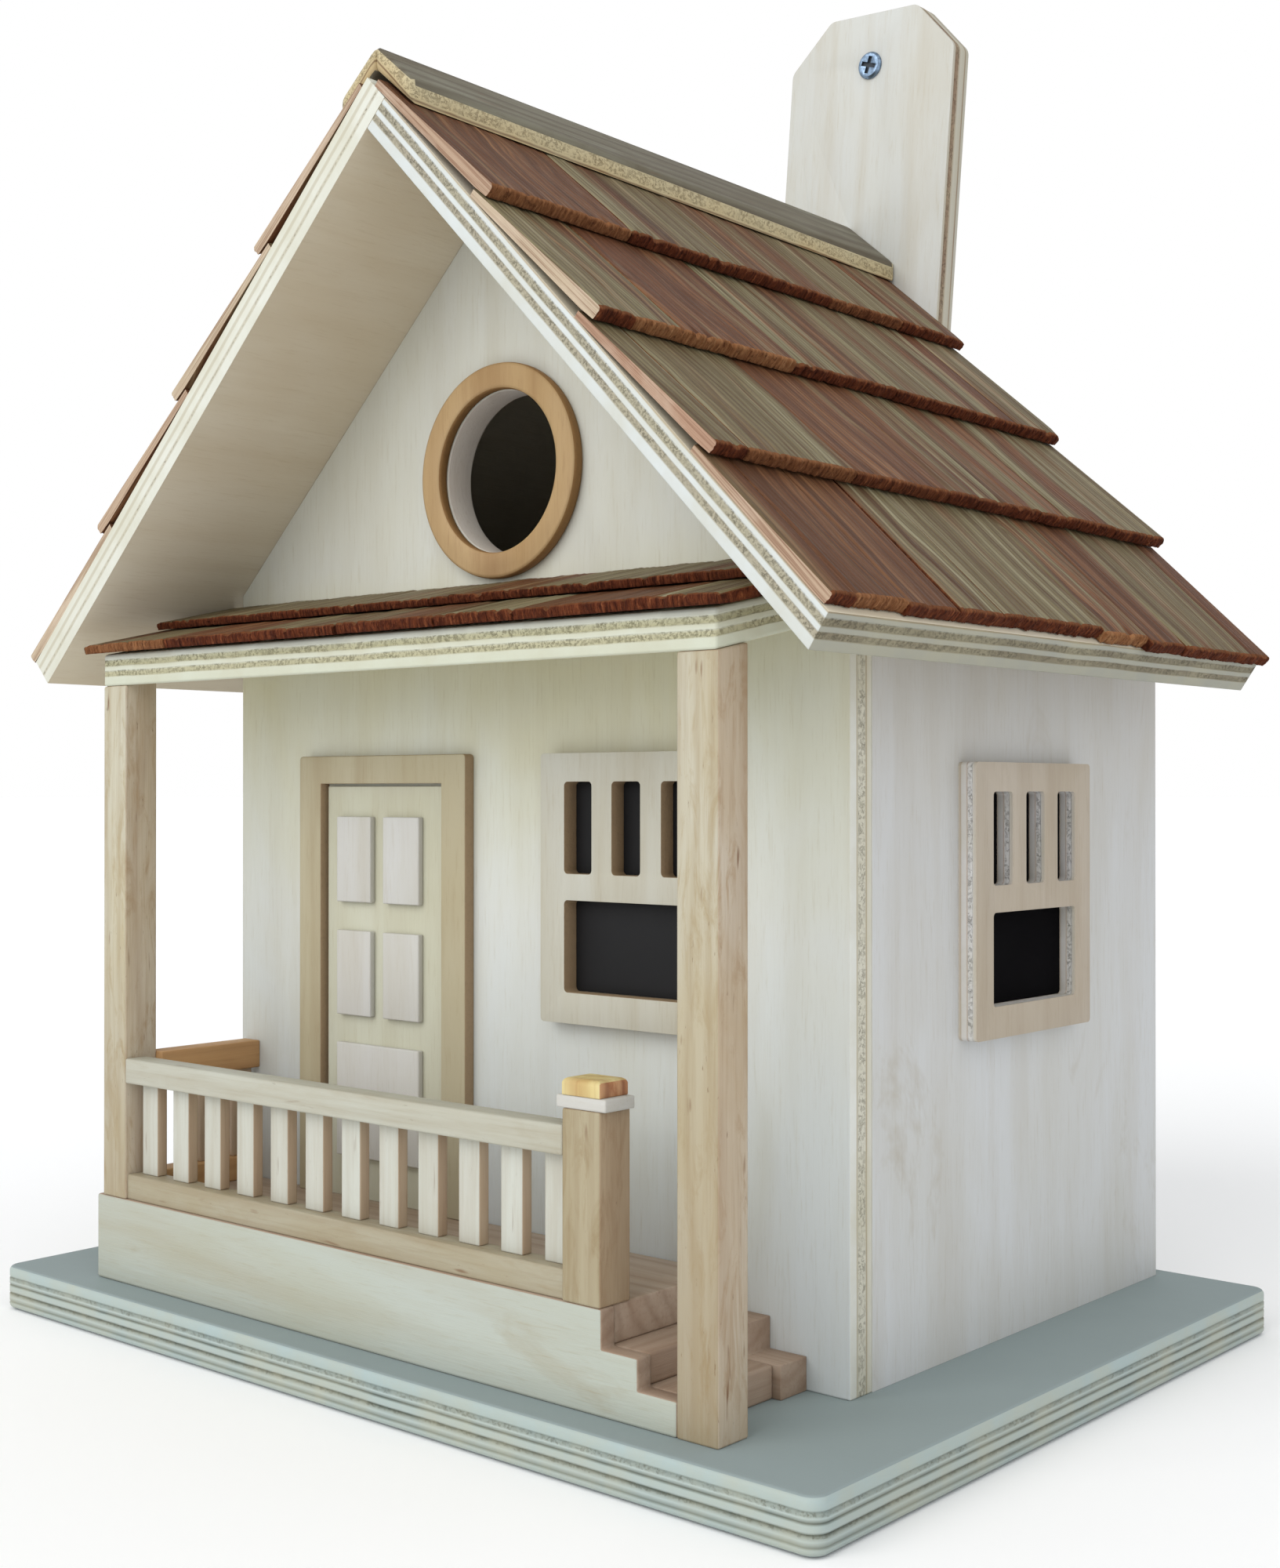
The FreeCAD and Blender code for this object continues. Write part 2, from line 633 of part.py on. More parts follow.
def front_balusters():
    solids = []
    for i in range(BALUSTERS):
        x = BALUSTER_FIRST_X + i * BALUSTER_PITCH
        solids.append(block(x - BALUSTER_W / 2, x + BALUSTER_W / 2, BALUSTER_FRONT,
                            BALUSTER_FRONT + BALUSTER_T, DECK_TOP + RAIL, RAIL_TOP_Z))
    return group(solids)


def side_rail(z, height):
    return block(SIDE_RAIL_X[0], SIDE_RAIL_X[1], PORCH_FRONT + POST, FRONT_Y, z, z + height)


def side_balusters():
    middle = sum(SIDE_RAIL_X) / 2
    solids = []
    for y in SIDE_BALUSTER_Y:
        solids.append(block(middle - BALUSTER_T / 2, middle + BALUSTER_T / 2, y - BALUSTER_W / 2,
                            y + BALUSTER_W / 2, DECK_TOP + RAIL, RAIL_TOP_Z))
    return group(solids)


def newel_post():
    return block(NEWEL_X, NEWEL_X + NEWEL_W, PORCH_FRONT, PORCH_FRONT + POST, DECK_TOP, NEWEL_TOP)


def newel_cap(size, z):
    """A piece of the newel's cap, flush with the newel's front."""
    width, depth, height = size
    x = NEWEL_X + NEWEL_W / 2
    return block(x - width / 2, x + width / 2, PORCH_FRONT, PORCH_FRONT + depth, z, z + height)


def newel_cap_plate():
    return newel_cap(CAP_PLATE, NEWEL_TOP)


def newel_cap_block():
    z = NEWEL_TOP + CAP_PLATE[2]
    solid = newel_cap(CAP_BLOCK, z)
    rim = [e for e in solid.Edges if e.BoundBox.ZMin > z + CAP_BLOCK[2] - 0.1]
    return solid.makeFillet(CAP_BLOCK_ROUND, rim)


# ================================================================ porch roof
def porch_roof_board():
    outline = [(y, PORCH.z_at(y)) for y in (PORCH_FRONT, FRONT_Y)]
    outline += [(y, PORCH.z_at(y, PLY)) for y in (FRONT_Y, PORCH_FRONT)]
    return prism_yz(outline, *PORCH_ROOF_X)


def porch_level(level, along):
    """A point of a shingle surface, a given distance up the slope from the board's front edge."""
    share = (along + PORCH_DRIP) / (PORCH_DEPTH + PORCH_DRIP)
    return PORCH.at(along, level[0] + (level[1] - level[0]) * share)


def porch_course(course):
    """Course 0 covers the board; course 1 lies on it from further back to the wall.

    Both are trimmed at an angle where they run into the underside of the main roof.
    """
    front = (-PORCH_DRIP, PORCH_SECOND_BUTT)[course]
    under, over = PORCH_LEVELS[course], PORCH_LEVELS[course + 1]
    outline = [porch_level(under, front), (FRONT_Y, PORCH.z_at(FRONT_Y, under[1]))]
    outline += [(FRONT_Y, PORCH.z_at(FRONT_Y, over[1])), porch_level(over, front)]
    spans = slats(PORCH_SEAMS[course], *PORCH_SHINGLE_X[course])
    soffit = [ROOF_L.at(SLOPE_LEFT, -PLY), roof_valley(), ROOF_R.at(SLOPE_RIGHT + EAVE_BEVEL, -PLY)]
    outline_above = [(x, z - GAP) for x, z in soffit]
    outline_above += [(soffit[2][0], RIDGE_Z), (soffit[0][0], RIDGE_Z)]
    above = prism_xz(outline_above, PORCH_FRONT * 2, FRONT_Y + PLY)
    return group([prism_yz(outline, near, far).cut(above) for near, far in spans])


# ================================================================ the whole birdhouse
def all_nodes():
    nodes = {
        "base_board": base_board(),
        "base_screws": group(base_screws()),
        "front_wall": front_wall(),
        "back_wall": back_wall(),
        "left_wall": side_wall(HOUSE_LEFT, ROOF_L),
        "right_wall": side_wall(HOUSE_RIGHT - PLY, ROOF_R),
        "cleanout_cover": cleanout_cover(),
        "cleanout_pivot_screw": pivot_screw(),
        "roof_panel_left": roof_panel_left(),
        "roof_panel_right": roof_panel_right(),
        "ridge_cap_left": ridge_cap(ROOF_L, SLOPE_LEFT, EAVE_DRIP_LEFT, -1),
        "ridge_cap_right": ridge_cap(ROOF_R, SLOPE_RIGHT, EAVE_DRIP_RIGHT, 1),
        "hanger_board": hanger_board(),
        "hanger_brads": group(hanger_brads()),
        "mounting_screw": mounting_screw(),
        "entrance_ring": entrance_ring(),
        "door_frame": door_frame(),
        "door_slab": door_slab(),
        "door_raised_panels": door_panels(),
        "porch_front_board": porch_front_board(),
        "porch_back_board": porch_back_board(),
        "deck_end_board": deck_end_board(),
        "porch_deck": porch_deck(),
        "step_tread_lower": step_tread(STEP_LOWER[0], BASE_T, STEP_LOWER[1]),
        "step_tread_upper": step_tread(STEP_UPPER[0], STEP_LOWER[1], STEP_UPPER[1]),
        "porch_post_left": porch_post(DECK_TOP, POST_LEFT_X, POST_LEFT_X + POST),
        "porch_post_right": porch_post(BASE_T, *POST_RIGHT_X),
        "porch_roof_board": porch_roof_board(),
        "porch_shingles_lower": porch_course(0),
        "porch_shingles_upper": porch_course(1),
        "front_top_rail": front_rail(RAIL_FRONT_TOP, RAIL_TOP_Z),
        "front_bottom_rail": front_rail(RAIL_FRONT_LOW, DECK_TOP),
        "front_balusters": front_balusters(),
        "side_top_rail": side_rail(RAIL_TOP_Z, SIDE_RAIL_H),
        "side_bottom_rail": side_rail(DECK_TOP, RAIL),
        "side_balusters": side_balusters(),
        "newel_post": newel_post(),
        "newel_cap_plate": newel_cap_plate(),
        "newel_cap_block": newel_cap_block(),
    }
    for place, name in ((on_front, "front"), (on_right, "right"), (on_left, "left")):
        nodes["window_frame_" + name] = place(window_frame())
        nodes["window_panes_" + name] = place(window_panes())
    for course in range(COURSES):
        nodes["shingles_left_%d" % (course + 1)] = roof_course(
            ROOF_L, course, SLOPE_LEFT, EAVE_DRIP_LEFT, SEAMS_LEFT[course])
        nodes["shingles_right_%d" % (course + 1)] = roof_course(
            ROOF_R, course, SLOPE_RIGHT, EAVE_DRIP_RIGHT, SEAMS_RIGHT[course],
            EAVE_SHIFTS if course == COURSES - 1 else ())
    return nodes


os.makedirs("parts", exist_ok=True)
for node, shape in all_nodes().items():
    export(shape, node)
    print(node, "valid" if shape.isValid() else "NOT VALID", round(shape.Volume), "mm3")
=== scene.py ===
import json
import math
import random

import bmesh
import bpy
from mathutils import Matrix, Vector, noise


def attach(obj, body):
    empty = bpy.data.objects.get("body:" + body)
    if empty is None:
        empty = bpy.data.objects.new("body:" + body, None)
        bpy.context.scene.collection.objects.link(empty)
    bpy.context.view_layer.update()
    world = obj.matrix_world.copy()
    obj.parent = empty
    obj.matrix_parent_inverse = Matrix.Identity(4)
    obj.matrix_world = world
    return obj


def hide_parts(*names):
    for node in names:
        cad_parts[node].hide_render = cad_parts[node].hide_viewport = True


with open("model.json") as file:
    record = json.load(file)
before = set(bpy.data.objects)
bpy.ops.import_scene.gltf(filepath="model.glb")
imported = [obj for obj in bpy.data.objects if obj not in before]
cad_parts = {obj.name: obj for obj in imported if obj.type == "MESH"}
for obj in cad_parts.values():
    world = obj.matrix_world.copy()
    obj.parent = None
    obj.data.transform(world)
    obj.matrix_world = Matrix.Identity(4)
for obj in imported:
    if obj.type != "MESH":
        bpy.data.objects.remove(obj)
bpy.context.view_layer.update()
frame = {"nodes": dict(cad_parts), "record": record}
MM = 0.001
X, Y, Z = Vector((1, 0, 0)), Vector((0, 1, 0)), Vector((0, 0, 1))
ROOF_LEFT_SLOPE, ROOF_RIGHT_SLOPE, PORCH_SLOPE, HANGER_LEAN = 43.2, 45.3, 12, 4.4     # degrees
TINT_TOP = 0.4
BODY = {node: body for body, nodes in frame["record"]["behaviour"]["bodies"].items() for node in nodes}


# ------------------------------------------------------------ node materials
class Mat:
    """A material under construction. Inputs are set from numbers, colours or other nodes' outputs."""

    def __init__(self, name):
        self.mat = bpy.data.materials.new(name)
        self.mat.use_nodes = True
        self.tree = self.mat.node_tree
        self.tree.nodes.clear()
        self.out = self.tree.nodes.new("ShaderNodeOutputMaterial")
        self.bsdf = self.tree.nodes.new("ShaderNodeBsdfPrincipled")
        self.tree.links.new(self.bsdf.outputs[0], self.out.inputs[0])

    def put(self, socket, value):
        if isinstance(value, bpy.types.NodeSocket):
            self.tree.links.new(value, socket)
        elif socket.type == "RGBA" and not isinstance(value, (int, float)) and len(value) == 3:
            socket.default_value = (*value, 1)
        else:
            socket.default_value = value

    def node(self, kind, out=0, **inputs):
        n = self.tree.nodes.new("ShaderNode" + kind)
        for key, value in inputs.items():
            self.put(n.inputs[key], value)
        return n.outputs[out]

    def attr(self, name, out="Vector"):
        n = self.tree.nodes.new("ShaderNodeAttribute")
        n.attribute_name = name
        return n.outputs[out]

    def split(self, vector):
        n = self.tree.nodes.new("ShaderNodeSeparateXYZ")
        self.put(n.inputs[0], vector)
        return n.outputs

    def math(self, op, a, b=0.0, c=None):
        n = self.tree.nodes.new("ShaderNodeMath")
        n.operation = op
        self.put(n.inputs[0], a)
        self.put(n.inputs[1], b)
        if c is not None:
            self.put(n.inputs[2], c)
        return n.outputs[0]

    def scaled(self, vector, scale):
        return self.node("Mapping", Vector=vector, Scale=scale)

    def noise(self, vector, scale, detail, rough, warp=0.0):
        """Noise with scale repeats per metre on each axis, or none where the vector is scaled already."""
        if scale:
            vector = self.scaled(vector, scale)
        return self.node("TexNoise", Vector=vector, Scale=1.0, Detail=detail, Roughness=rough,
                         Distortion=warp)

    def map(self, value, from_low, from_high, to_low=0.0, to_high=1.0):
        n = self.tree.nodes.new("ShaderNodeMapRange")
        for socket, number in zip(n.inputs, (value, from_low, from_high, to_low, to_high)):
            self.put(socket, number)
        return n.outputs[0]

    def ramp(self, fac, stops):
        n = self.tree.nodes.new("ShaderNodeValToRGB")
        while len(n.color_ramp.elements) < len(stops):
            n.color_ramp.elements.new(0.5)
        for element, (pos, color) in zip(n.color_ramp.elements, stops):
            element.position = pos
            element.color = (*srgb(color), 1)
        self.put(n.inputs[0], fac)
        return n.outputs[0]

    def mix(self, fac, a, b, blend="MIX"):
        n = self.tree.nodes.new("ShaderNodeMix")
        n.data_type, n.blend_type = "RGBA", blend
        self.put(n.inputs[0], fac)
        self.put(n.inputs[6], a)
        self.put(n.inputs[7], b)
        return n.outputs[2]

    def over(self, base, mask, strength, color):
        """Lays a colour over the base where the mask is high."""
        return self.mix(self.math("MULTIPLY", mask, strength), base, srgb(color))

    def bump(self, height, distance, strength):
        n = self.tree.nodes.new("ShaderNodeBump")
        self.put(n.inputs["Height"], height)
        n.inputs["Distance"].default_value = distance
        n.inputs["Strength"].default_value = strength
        return n.outputs[0]

    def done(self, color, rough, normal=None, **values):
        self.put(self.bsdf.inputs["Base Color"], color)
        self.put(self.bsdf.inputs["Roughness"], rough)
        if normal is not None:
            self.put(self.bsdf.inputs["Normal"], normal)
        for key, value in values.items():
            self.put(self.bsdf.inputs[key.replace("__", " ")], value)
        return self.mat

    def object_place(self):
        return self.node("TexCoord", out=3)


def srgb(color):
    """8-bit display colour to the linear values a node takes."""
    out = []
    for c in color[:3]:
        c = c / 255
        out.append(c / 12.92 if c <= 0.04045 else ((c + 0.055) / 1.055) ** 2.4)
    return tuple(out)


def veneer(name, pale, warm, dark, streak=0.5, rough=0.6, knots=0.0, light_tints=None, smudge=0.0):
    """Birch face veneer under a thin whitewash: fine pores along the grain and soft cloudy bands."""
    m = Mat(name)
    g = m.attr("grain")
    tone = m.split(m.attr("tone"))
    pores = m.noise(g, (1500, 1500, 90), 4, 0.7)
    bands = m.noise(g, (70, 70, 6), 4, 0.55, 0.6)
    cloud = m.noise(g, (17, 17, 7), 3, 0.6, 0.8)
    fibre = m.noise(g, (380, 380, 22), 5, 0.65, 0.3)
    base = m.mix(m.map(cloud, 0.36, 0.66), srgb(pale), srgb(warm))
    base = m.over(base, m.map(bands, 0.44, 0.74), streak, dark)
    base = m.over(base, m.map(fibre, 0.5, 0.8), 0.45 * streak, dark)
    base = m.over(base, m.map(pores, 0.55, 0.75), 0.42, dark)
    # Painted light: the colour is multiplied by a tint that changes with height, for the casts and shade of
    # the light on the walls.
    if light_tints:
        z = m.split(m.object_place())[2]
        drift = m.math("ADD", z, m.map(cloud, 0.2, 0.8, -0.018, 0.018))
        base = m.mix(1.0, base, m.ramp(m.map(drift, 0.0, TINT_TOP), light_tints), "MULTIPLY")
    if smudge:
        dirt = m.noise(g, (26, 26, 11), 5, 0.65, 1.2)
        base = m.mix(m.map(dirt, 0.62, 0.74, 0.0, smudge), base, srgb((150, 134, 102)))
    if knots:
        spots = m.node("TexVoronoi", Vector=m.scaled(g, (30, 30, 15)), Scale=1.0, Randomness=1.0)
        base = m.mix(m.map(spots, 0.03, 0.11, knots, 0.0), base, srgb((118, 88, 56)))
    base = m.over(base, tone[1], 0.14, dark)
    height = m.math("ADD", m.math("MULTIPLY", pores, 0.6), m.math("MULTIPLY", fibre, 0.5))
    return m.done(base, m.map(cloud, 0.3, 0.7, rough - 0.05, rough + 0.08), m.bump(height, 0.00022, 0.55),
                  Specular__IOR__Level=0.28)


def ply_edge(name, bands, cross, wobble=0.02, rough=0.7, grit_color=(104, 96, 76), depth=0.0004):
    """The sawn edge of plywood: one band per ply; cross holds the spans of rough end-grain plies."""
    m = Mat(name)
    g = m.attr("grain")
    t = m.attr("ply", "Fac")
    wave = m.noise(g, (30, 30, 30), 3, 0.6)
    t2 = m.math("ADD", t, m.map(wave, 0.2, 0.8, -wobble, wobble))
    color = m.ramp(t2, bands)
    grit = m.noise(g, (1100, 1100, 1100), 4, 0.8)
    coarse = m.noise(g, (260, 260, 260), 3, 0.6)
    drift = m.noise(g, (60, 60, 60), 4, 0.6)
    out, full, fade = (0, 0, 0), (255, 255, 255), 0.03
    spans = [(0.0, out)]
    for low, high in cross:
        spans += [(low, out), (low + fade, full), (high - fade, full), (high, out)]
    inside = m.node("RGBToBW", Color=m.ramp(t2, spans))
    speck = m.math("MULTIPLY", m.map(grit, 0.5, 0.64), m.map(coarse, 0.35, 0.6, 0.25, 1.0))
    mask = m.math("MULTIPLY", speck, inside)
    color = m.over(color, mask, 0.6, grit_color)
    color = m.mix(m.map(drift, 0.35, 0.72, 0.0, 0.4), color, srgb((180, 174, 146)))
    height = m.math("SUBTRACT", 0.0, m.math("ADD", m.math("MULTIPLY", inside, 0.4), mask))
    return m.done(color, rough, m.bump(height, depth, 0.8), Specular__IOR__Level=0.22)


def sawn_wood(name, light, mid, dark, ring=1.0, fleck=0.4, rough=0.55, tint=0.25, mottle=0.0,
              foot=0.0):
    """Small pine and cedar stock: growth-ring lines along the grain, flecks and a little stain.

    mottle adds slanted stains and pits; foot darkens the end that stands on the base.
    """
    m = Mat(name)
    g = m.attr("grain")
    tone = m.split(m.attr("tone"))
    gx = m.split(g)
    bend = m.noise(g, (40, 40, 7), 3, 0.5)
    radial = m.math("ADD", m.math("MULTIPLY", gx[0], 520), m.math("MULTIPLY", bend, 9.0))
    radial = m.math("ADD", radial, m.math("MULTIPLY", gx[1], 210))
    lines = m.math("ABSOLUTE", m.math("SINE", radial))
    fibre = m.noise(g, (900, 900, 30), 5, 0.65)
    cloud = m.noise(g, (60, 60, 14), 4, 0.6, 0.7)
    spots = m.noise(g, (420, 420, 60), 2, 0.5)
    base = m.mix(m.map(cloud, 0.33, 0.68), srgb(light), srgb(mid))
    base = m.over(base, m.math("POWER", lines, 5.0), 0.42 * ring, dark)
    base = m.over(base, m.map(fibre, 0.5, 0.78), 0.36, dark)
    base = m.over(base, m.map(spots, 0.69, 0.78), fleck, (108, 72, 48))
    if mottle:
        slant = m.node("Mapping", Vector=g, Rotation=(0.5, 0.4, 0.0), Scale=(210, 210, 46))
        stain = m.noise(slant, None, 5, 0.7, 0.9)
        stained = [0.62 * a + 0.38 * b for a, b in zip(mid, dark)]
        base = m.mix(m.map(stain, 0.5, 0.68, 0.0, mottle), base, srgb(stained))
        pits = m.noise(g, (900, 900, 240), 3, 0.6)
        base = m.mix(m.map(pits, 0.68, 0.76, 0.0, 0.75 * mottle), base, srgb((92, 64, 42)))
    if foot:
        z = m.split(m.object_place())[2]
        low = m.math("ADD", z, m.map(cloud, 0.2, 0.8, -0.025, 0.025))
        base = m.mix(m.map(low, 0.025, 0.125, foot, 0.0), base, srgb(dark))
    base = m.over(base, tone[0], tint, dark)
    height = m.math("ADD", m.math("MULTIPLY", fibre, 0.8), m.math("MULTIPLY", lines, -0.25))
    return m.done(base, m.map(fibre, 0.3, 0.7, rough - 0.06, rough + 0.08), m.bump(height, 0.00025, 0.6),
                  Specular__IOR__Level=0.3)


def cedar_top(name):
    """Weathered cedar: olive and red-brown streaks down the slope, with raised grain."""
    m = Mat(name)
    g = m.attr("grain")
    tone = m.split(m.attr("tone"))
    gx = m.split(g)
    bend = m.noise(g, (16, 16, 8), 3, 0.5, 0.6)
    sway = m.math("MULTIPLY_ADD", m.math("POWER", tone[2], 4.0), 90.0, 26.0)
    radial = m.math("ADD", m.math("MULTIPLY", gx[0], 2900), m.math("MULTIPLY", bend, sway))
    rings = m.math("MULTIPLY_ADD", m.math("SINE", radial), 0.5, 0.5)
    follow = m.node("CombineXYZ", X=m.math("MULTIPLY", radial, 0.03), Y=gx[1],
                    Z=m.math("MULTIPLY", gx[2], 4.0))
    wide = m.noise(follow, None, 3, 0.6, 0.3)
    mid = m.noise(follow, (3.6, 1.0, 1.6), 4, 0.6)
    fine = m.noise(g, (1600, 1600, 45), 4, 0.72)
    olive = m.ramp(mid, [(0.28, (162, 155, 126)), (0.48, (128, 119, 88)), (0.72, (86, 68, 45))])
    brown = m.ramp(mid, [(0.28, (150, 106, 70)), (0.5, (106, 66, 42)), (0.74, (58, 33, 21))])
    swing = m.math("ADD", m.math("MULTIPLY", wide, 2.4), m.math("MULTIPLY", tone[0], 0.9))
    base = m.mix(m.map(swing, 1.45, 1.85), olive, brown)
    base = m.over(base, m.math("POWER", rings, 3.0), 0.5, (72, 46, 32))
    base = m.over(base, m.map(fine, 0.5, 0.78), 0.42, (66, 44, 30))
    base = m.over(base, m.map(fine, 0.44, 0.25), 0.22, (178, 164, 128))
    base = m.over(base, tone[1], 0.25, (90, 66, 46))
    height = m.math("ADD", m.math("MULTIPLY", fine, 0.8), m.math("MULTIPLY", rings, -0.5))
    height = m.math("ADD", height, m.math("MULTIPLY", mid, 0.9))
    return m.done(base, m.map(fine, 0.3, 0.7, 0.42, 0.64), m.bump(height, 0.0005, 0.8),
                  Specular__IOR__Level=0.16)


def cedar_butt(name):
    """The sawn lower end of a cedar shingle: torn fibres, orange-brown with dark pits."""
    m = Mat(name)
    g = m.attr("grain")
    tone = m.split(m.attr("tone"))
    t = m.attr("ply", "Fac")
    torn = m.noise(g, (1300, 190, 300), 5, 0.75, 0.5)
    pits = m.noise(g, (480, 480, 480), 4, 0.65)
    color = m.ramp(torn, [(0.28, (36, 15, 9)), (0.44, (76, 36, 22)), (0.58, (110, 58, 35)),
                          (0.76, (164, 102, 66))])
    light = m.ramp(torn, [(0.28, (84, 50, 30)), (0.44, (132, 86, 54)), (0.6, (162, 116, 78)),
                          (0.76, (192, 150, 110))])
    color = m.mix(m.map(tone[2], 0.78, 0.95), color, light)
    # Lighter towards the upper rim and darker towards the bottom of the butt; the darkening is partly dirt
    # and partly painted shade.
    color = m.mix(m.map(t, 0.86, 1.0, 0.0, 0.3), color, srgb((168, 116, 76)))
    color = m.mix(m.map(t, 0.3, 0.0, 0.0, 0.5), color, srgb((52, 26, 16)))
    color = m.mix(m.map(pits, 0.56, 0.72, 0.0, 0.65), color, srgb((48, 22, 14)))
    return m.done(color, 0.8, m.bump(torn, 0.0011, 0.95), Specular__IOR__Level=0.08)


def cedar_side(name):
    """The planed edge of a course's outer shingle: cream or pink, with fine lines down the slope."""
    m = Mat(name)
    g = m.attr("grain")
    tone = m.split(m.attr("tone"))
    lines = m.noise(g, (60, 2400, 26), 4, 0.6)
    cloud = m.noise(g, (90, 90, 40), 4, 0.6)
    base = m.mix(tone[1], srgb((200, 190, 164)), srgb((166, 130, 108)))
    base = m.mix(m.map(lines, 0.44, 0.62, 0.0, 0.7), base, srgb((120, 82, 60)))
    base = m.mix(m.map(cloud, 0.5, 0.75, 0.0, 0.5), base, srgb((214, 196, 176)))
    return m.done(base, 0.68, m.bump(lines, 0.0003, 0.7), Specular__IOR__Level=0.2)


def plain(name, color, rough, grain_scale, amount, bump, **values):
    """Paint or card: one colour with a faint mottle and a slight unevenness."""
    m = Mat(name)
    place = m.object_place()
    mottle = m.noise(place, (grain_scale,) * 3, 3, 0.6)
    broad = m.noise(place, (14, 14, 14), 4, 0.6)
    base = m.mix(m.map(broad, 0.3, 0.75, 0.0, amount * 2), srgb(color), srgb([c * 0.86 for c in color]))
    base = m.mix(m.map(mottle, 0.5, 0.8, 0.0, amount), base, srgb([c * 0.7 for c in color]))
    return m.done(base, m.map(broad, 0.3, 0.7, rough * 0.85, rough * 1.2), m.bump(mottle, bump, 0.5),
                  **values)


def metal(name, color, rough):
    """Zinc-plated steel with a slight smear."""
    m = Mat(name)
    place = m.object_place()
    smear = m.noise(place, (900, 900, 900), 4, 0.6)
    base = m.mix(m.map(smear, 0.4, 0.7), srgb(color), srgb([c * 0.72 for c in color]))
    return m.done(base, m.map(smear, 0.3, 0.7, rough * 0.8, rough * 1.3), m.bump(smear, 0.00005, 0.4),
                  Metallic=1.0)


# Each ply list gives the colours through a board, from one face to the other, as seen on its sawn edge.
# Each tint list gives what a wall's colour is multiplied by, from z = 0 up to TINT_TOP: painted light, the
# warm and cool casts and the shade that the light lays on the walls at each height.
WHITE = (204, 209, 208)
EAVE_SHADE = (0.78, 0.76, 0.71)
ROOF_PLY = [(0.0, WHITE), (0.27, WHITE), (0.31, (164, 158, 140)), (0.46, (160, 152, 134)), (0.5, WHITE),
            (0.6, WHITE), (0.64, (160, 154, 134)), (0.8, (162, 156, 138)), (0.84, WHITE), (0.94, WHITE),
            (0.97, (176, 164, 142)), (1.0, (170, 156, 132))]
ROOF_PLY_SMOOTH = [(0.0, (212, 213, 203)), (0.3, (212, 213, 203)), (0.34, (192, 188, 172)),
                   (0.42, (194, 190, 174)), (0.47, (212, 213, 203)), (0.64, (210, 210, 198)),
                   (0.68, (190, 186, 170)), (0.76, (192, 188, 172)), (0.8, (210, 211, 200)),
                   (1.0, (206, 205, 190))]
# EAVE_PLY is ROOF_PLY darkened by EAVE_SHADE: painted shade on the right roof panel's down-slope end faces.
EAVE_PLY = [(t, [c * share for c, share in zip(color, EAVE_SHADE)]) for t, color in ROOF_PLY]
ROOF_CROSS = [(0.3, 0.49), (0.63, 0.85)]
PORCH_PLY = [(0.0, (198, 202, 184)), (0.28, (200, 203, 186)), (0.33, (176, 172, 140)),
             (0.44, (180, 176, 146)), (0.5, (204, 207, 192)), (0.6, (200, 202, 184)),
             (0.66, (172, 168, 134)), (0.78, (184, 182, 152)), (0.84, (206, 209, 198)),
             (1.0, (206, 209, 198))]
WALL_PLY = [(0.0, (214, 215, 209)), (0.27, (214, 215, 209)), (0.3, (168, 156, 132)),
            (0.34, (206, 203, 188)), (0.68, (208, 205, 190)), (0.73, (158, 142, 116)),
            (0.78, (206, 202, 186)), (1.0, (212, 211, 202))]
HANGER_PLY = [(0.0, (184, 180, 170)), (0.12, (176, 169, 156)), (0.16, (128, 102, 82)),
              (0.34, (138, 114, 94)), (0.4, (168, 156, 138)), (0.5, (184, 180, 168)),
              (0.74, (178, 172, 158)), (0.8, (124, 98, 76)), (0.86, (176, 172, 160)),
              (1.0, (182, 178, 168))]
BASE_PLY = [(0.0, (162, 178, 178)), (0.22, (166, 182, 181)), (0.26, (128, 141, 138)),
            (0.32, (140, 152, 148)), (0.36, (172, 186, 184)), (0.44, (84, 93, 86)),
            (0.48, (162, 175, 171)), (0.58, (168, 180, 177)), (0.63, (80, 88, 79)),
            (0.67, (140, 148, 140)), (0.74, (170, 182, 179)), (0.84, (118, 127, 120)),
            (0.88, (160, 173, 170)), (1.0, (152, 166, 164))]
WINDOW_PLY = [(0.0, (200, 190, 176)), (0.16, (202, 196, 186)), (0.22, (218, 217, 216)),
              (0.46, (216, 214, 213)), (0.52, (184, 166, 154)), (0.58, (216, 213, 211)),
              (0.82, (214, 211, 208)), (0.88, (188, 172, 156)), (1.0, (206, 200, 190))]
CAP_PLY = [(0.0, (176, 152, 112)), (0.26, (186, 164, 122)), (0.32, (104, 72, 44)),
           (0.38, (190, 172, 132)), (0.8, (196, 182, 146)), (1.0, (170, 160, 130))]
FRONT_LIGHT_TINTS = [(0.03, (244, 248, 255)), (0.17, (248, 251, 255)), (0.3, (255, 255, 255)),
               (0.4, (255, 254, 244)), (0.49, (254, 248, 222)), (0.56, (255, 254, 250)),
               (0.8, (255, 254, 250)), (0.86, (250, 247, 236))]
SIDE_LIGHT_TINTS = [(0.03, (255, 255, 255)), (0.12, (248, 249, 249)), (0.35, (243, 243, 243)),
              (0.5, (242, 239, 235)), (0.56, (240, 234, 225))]

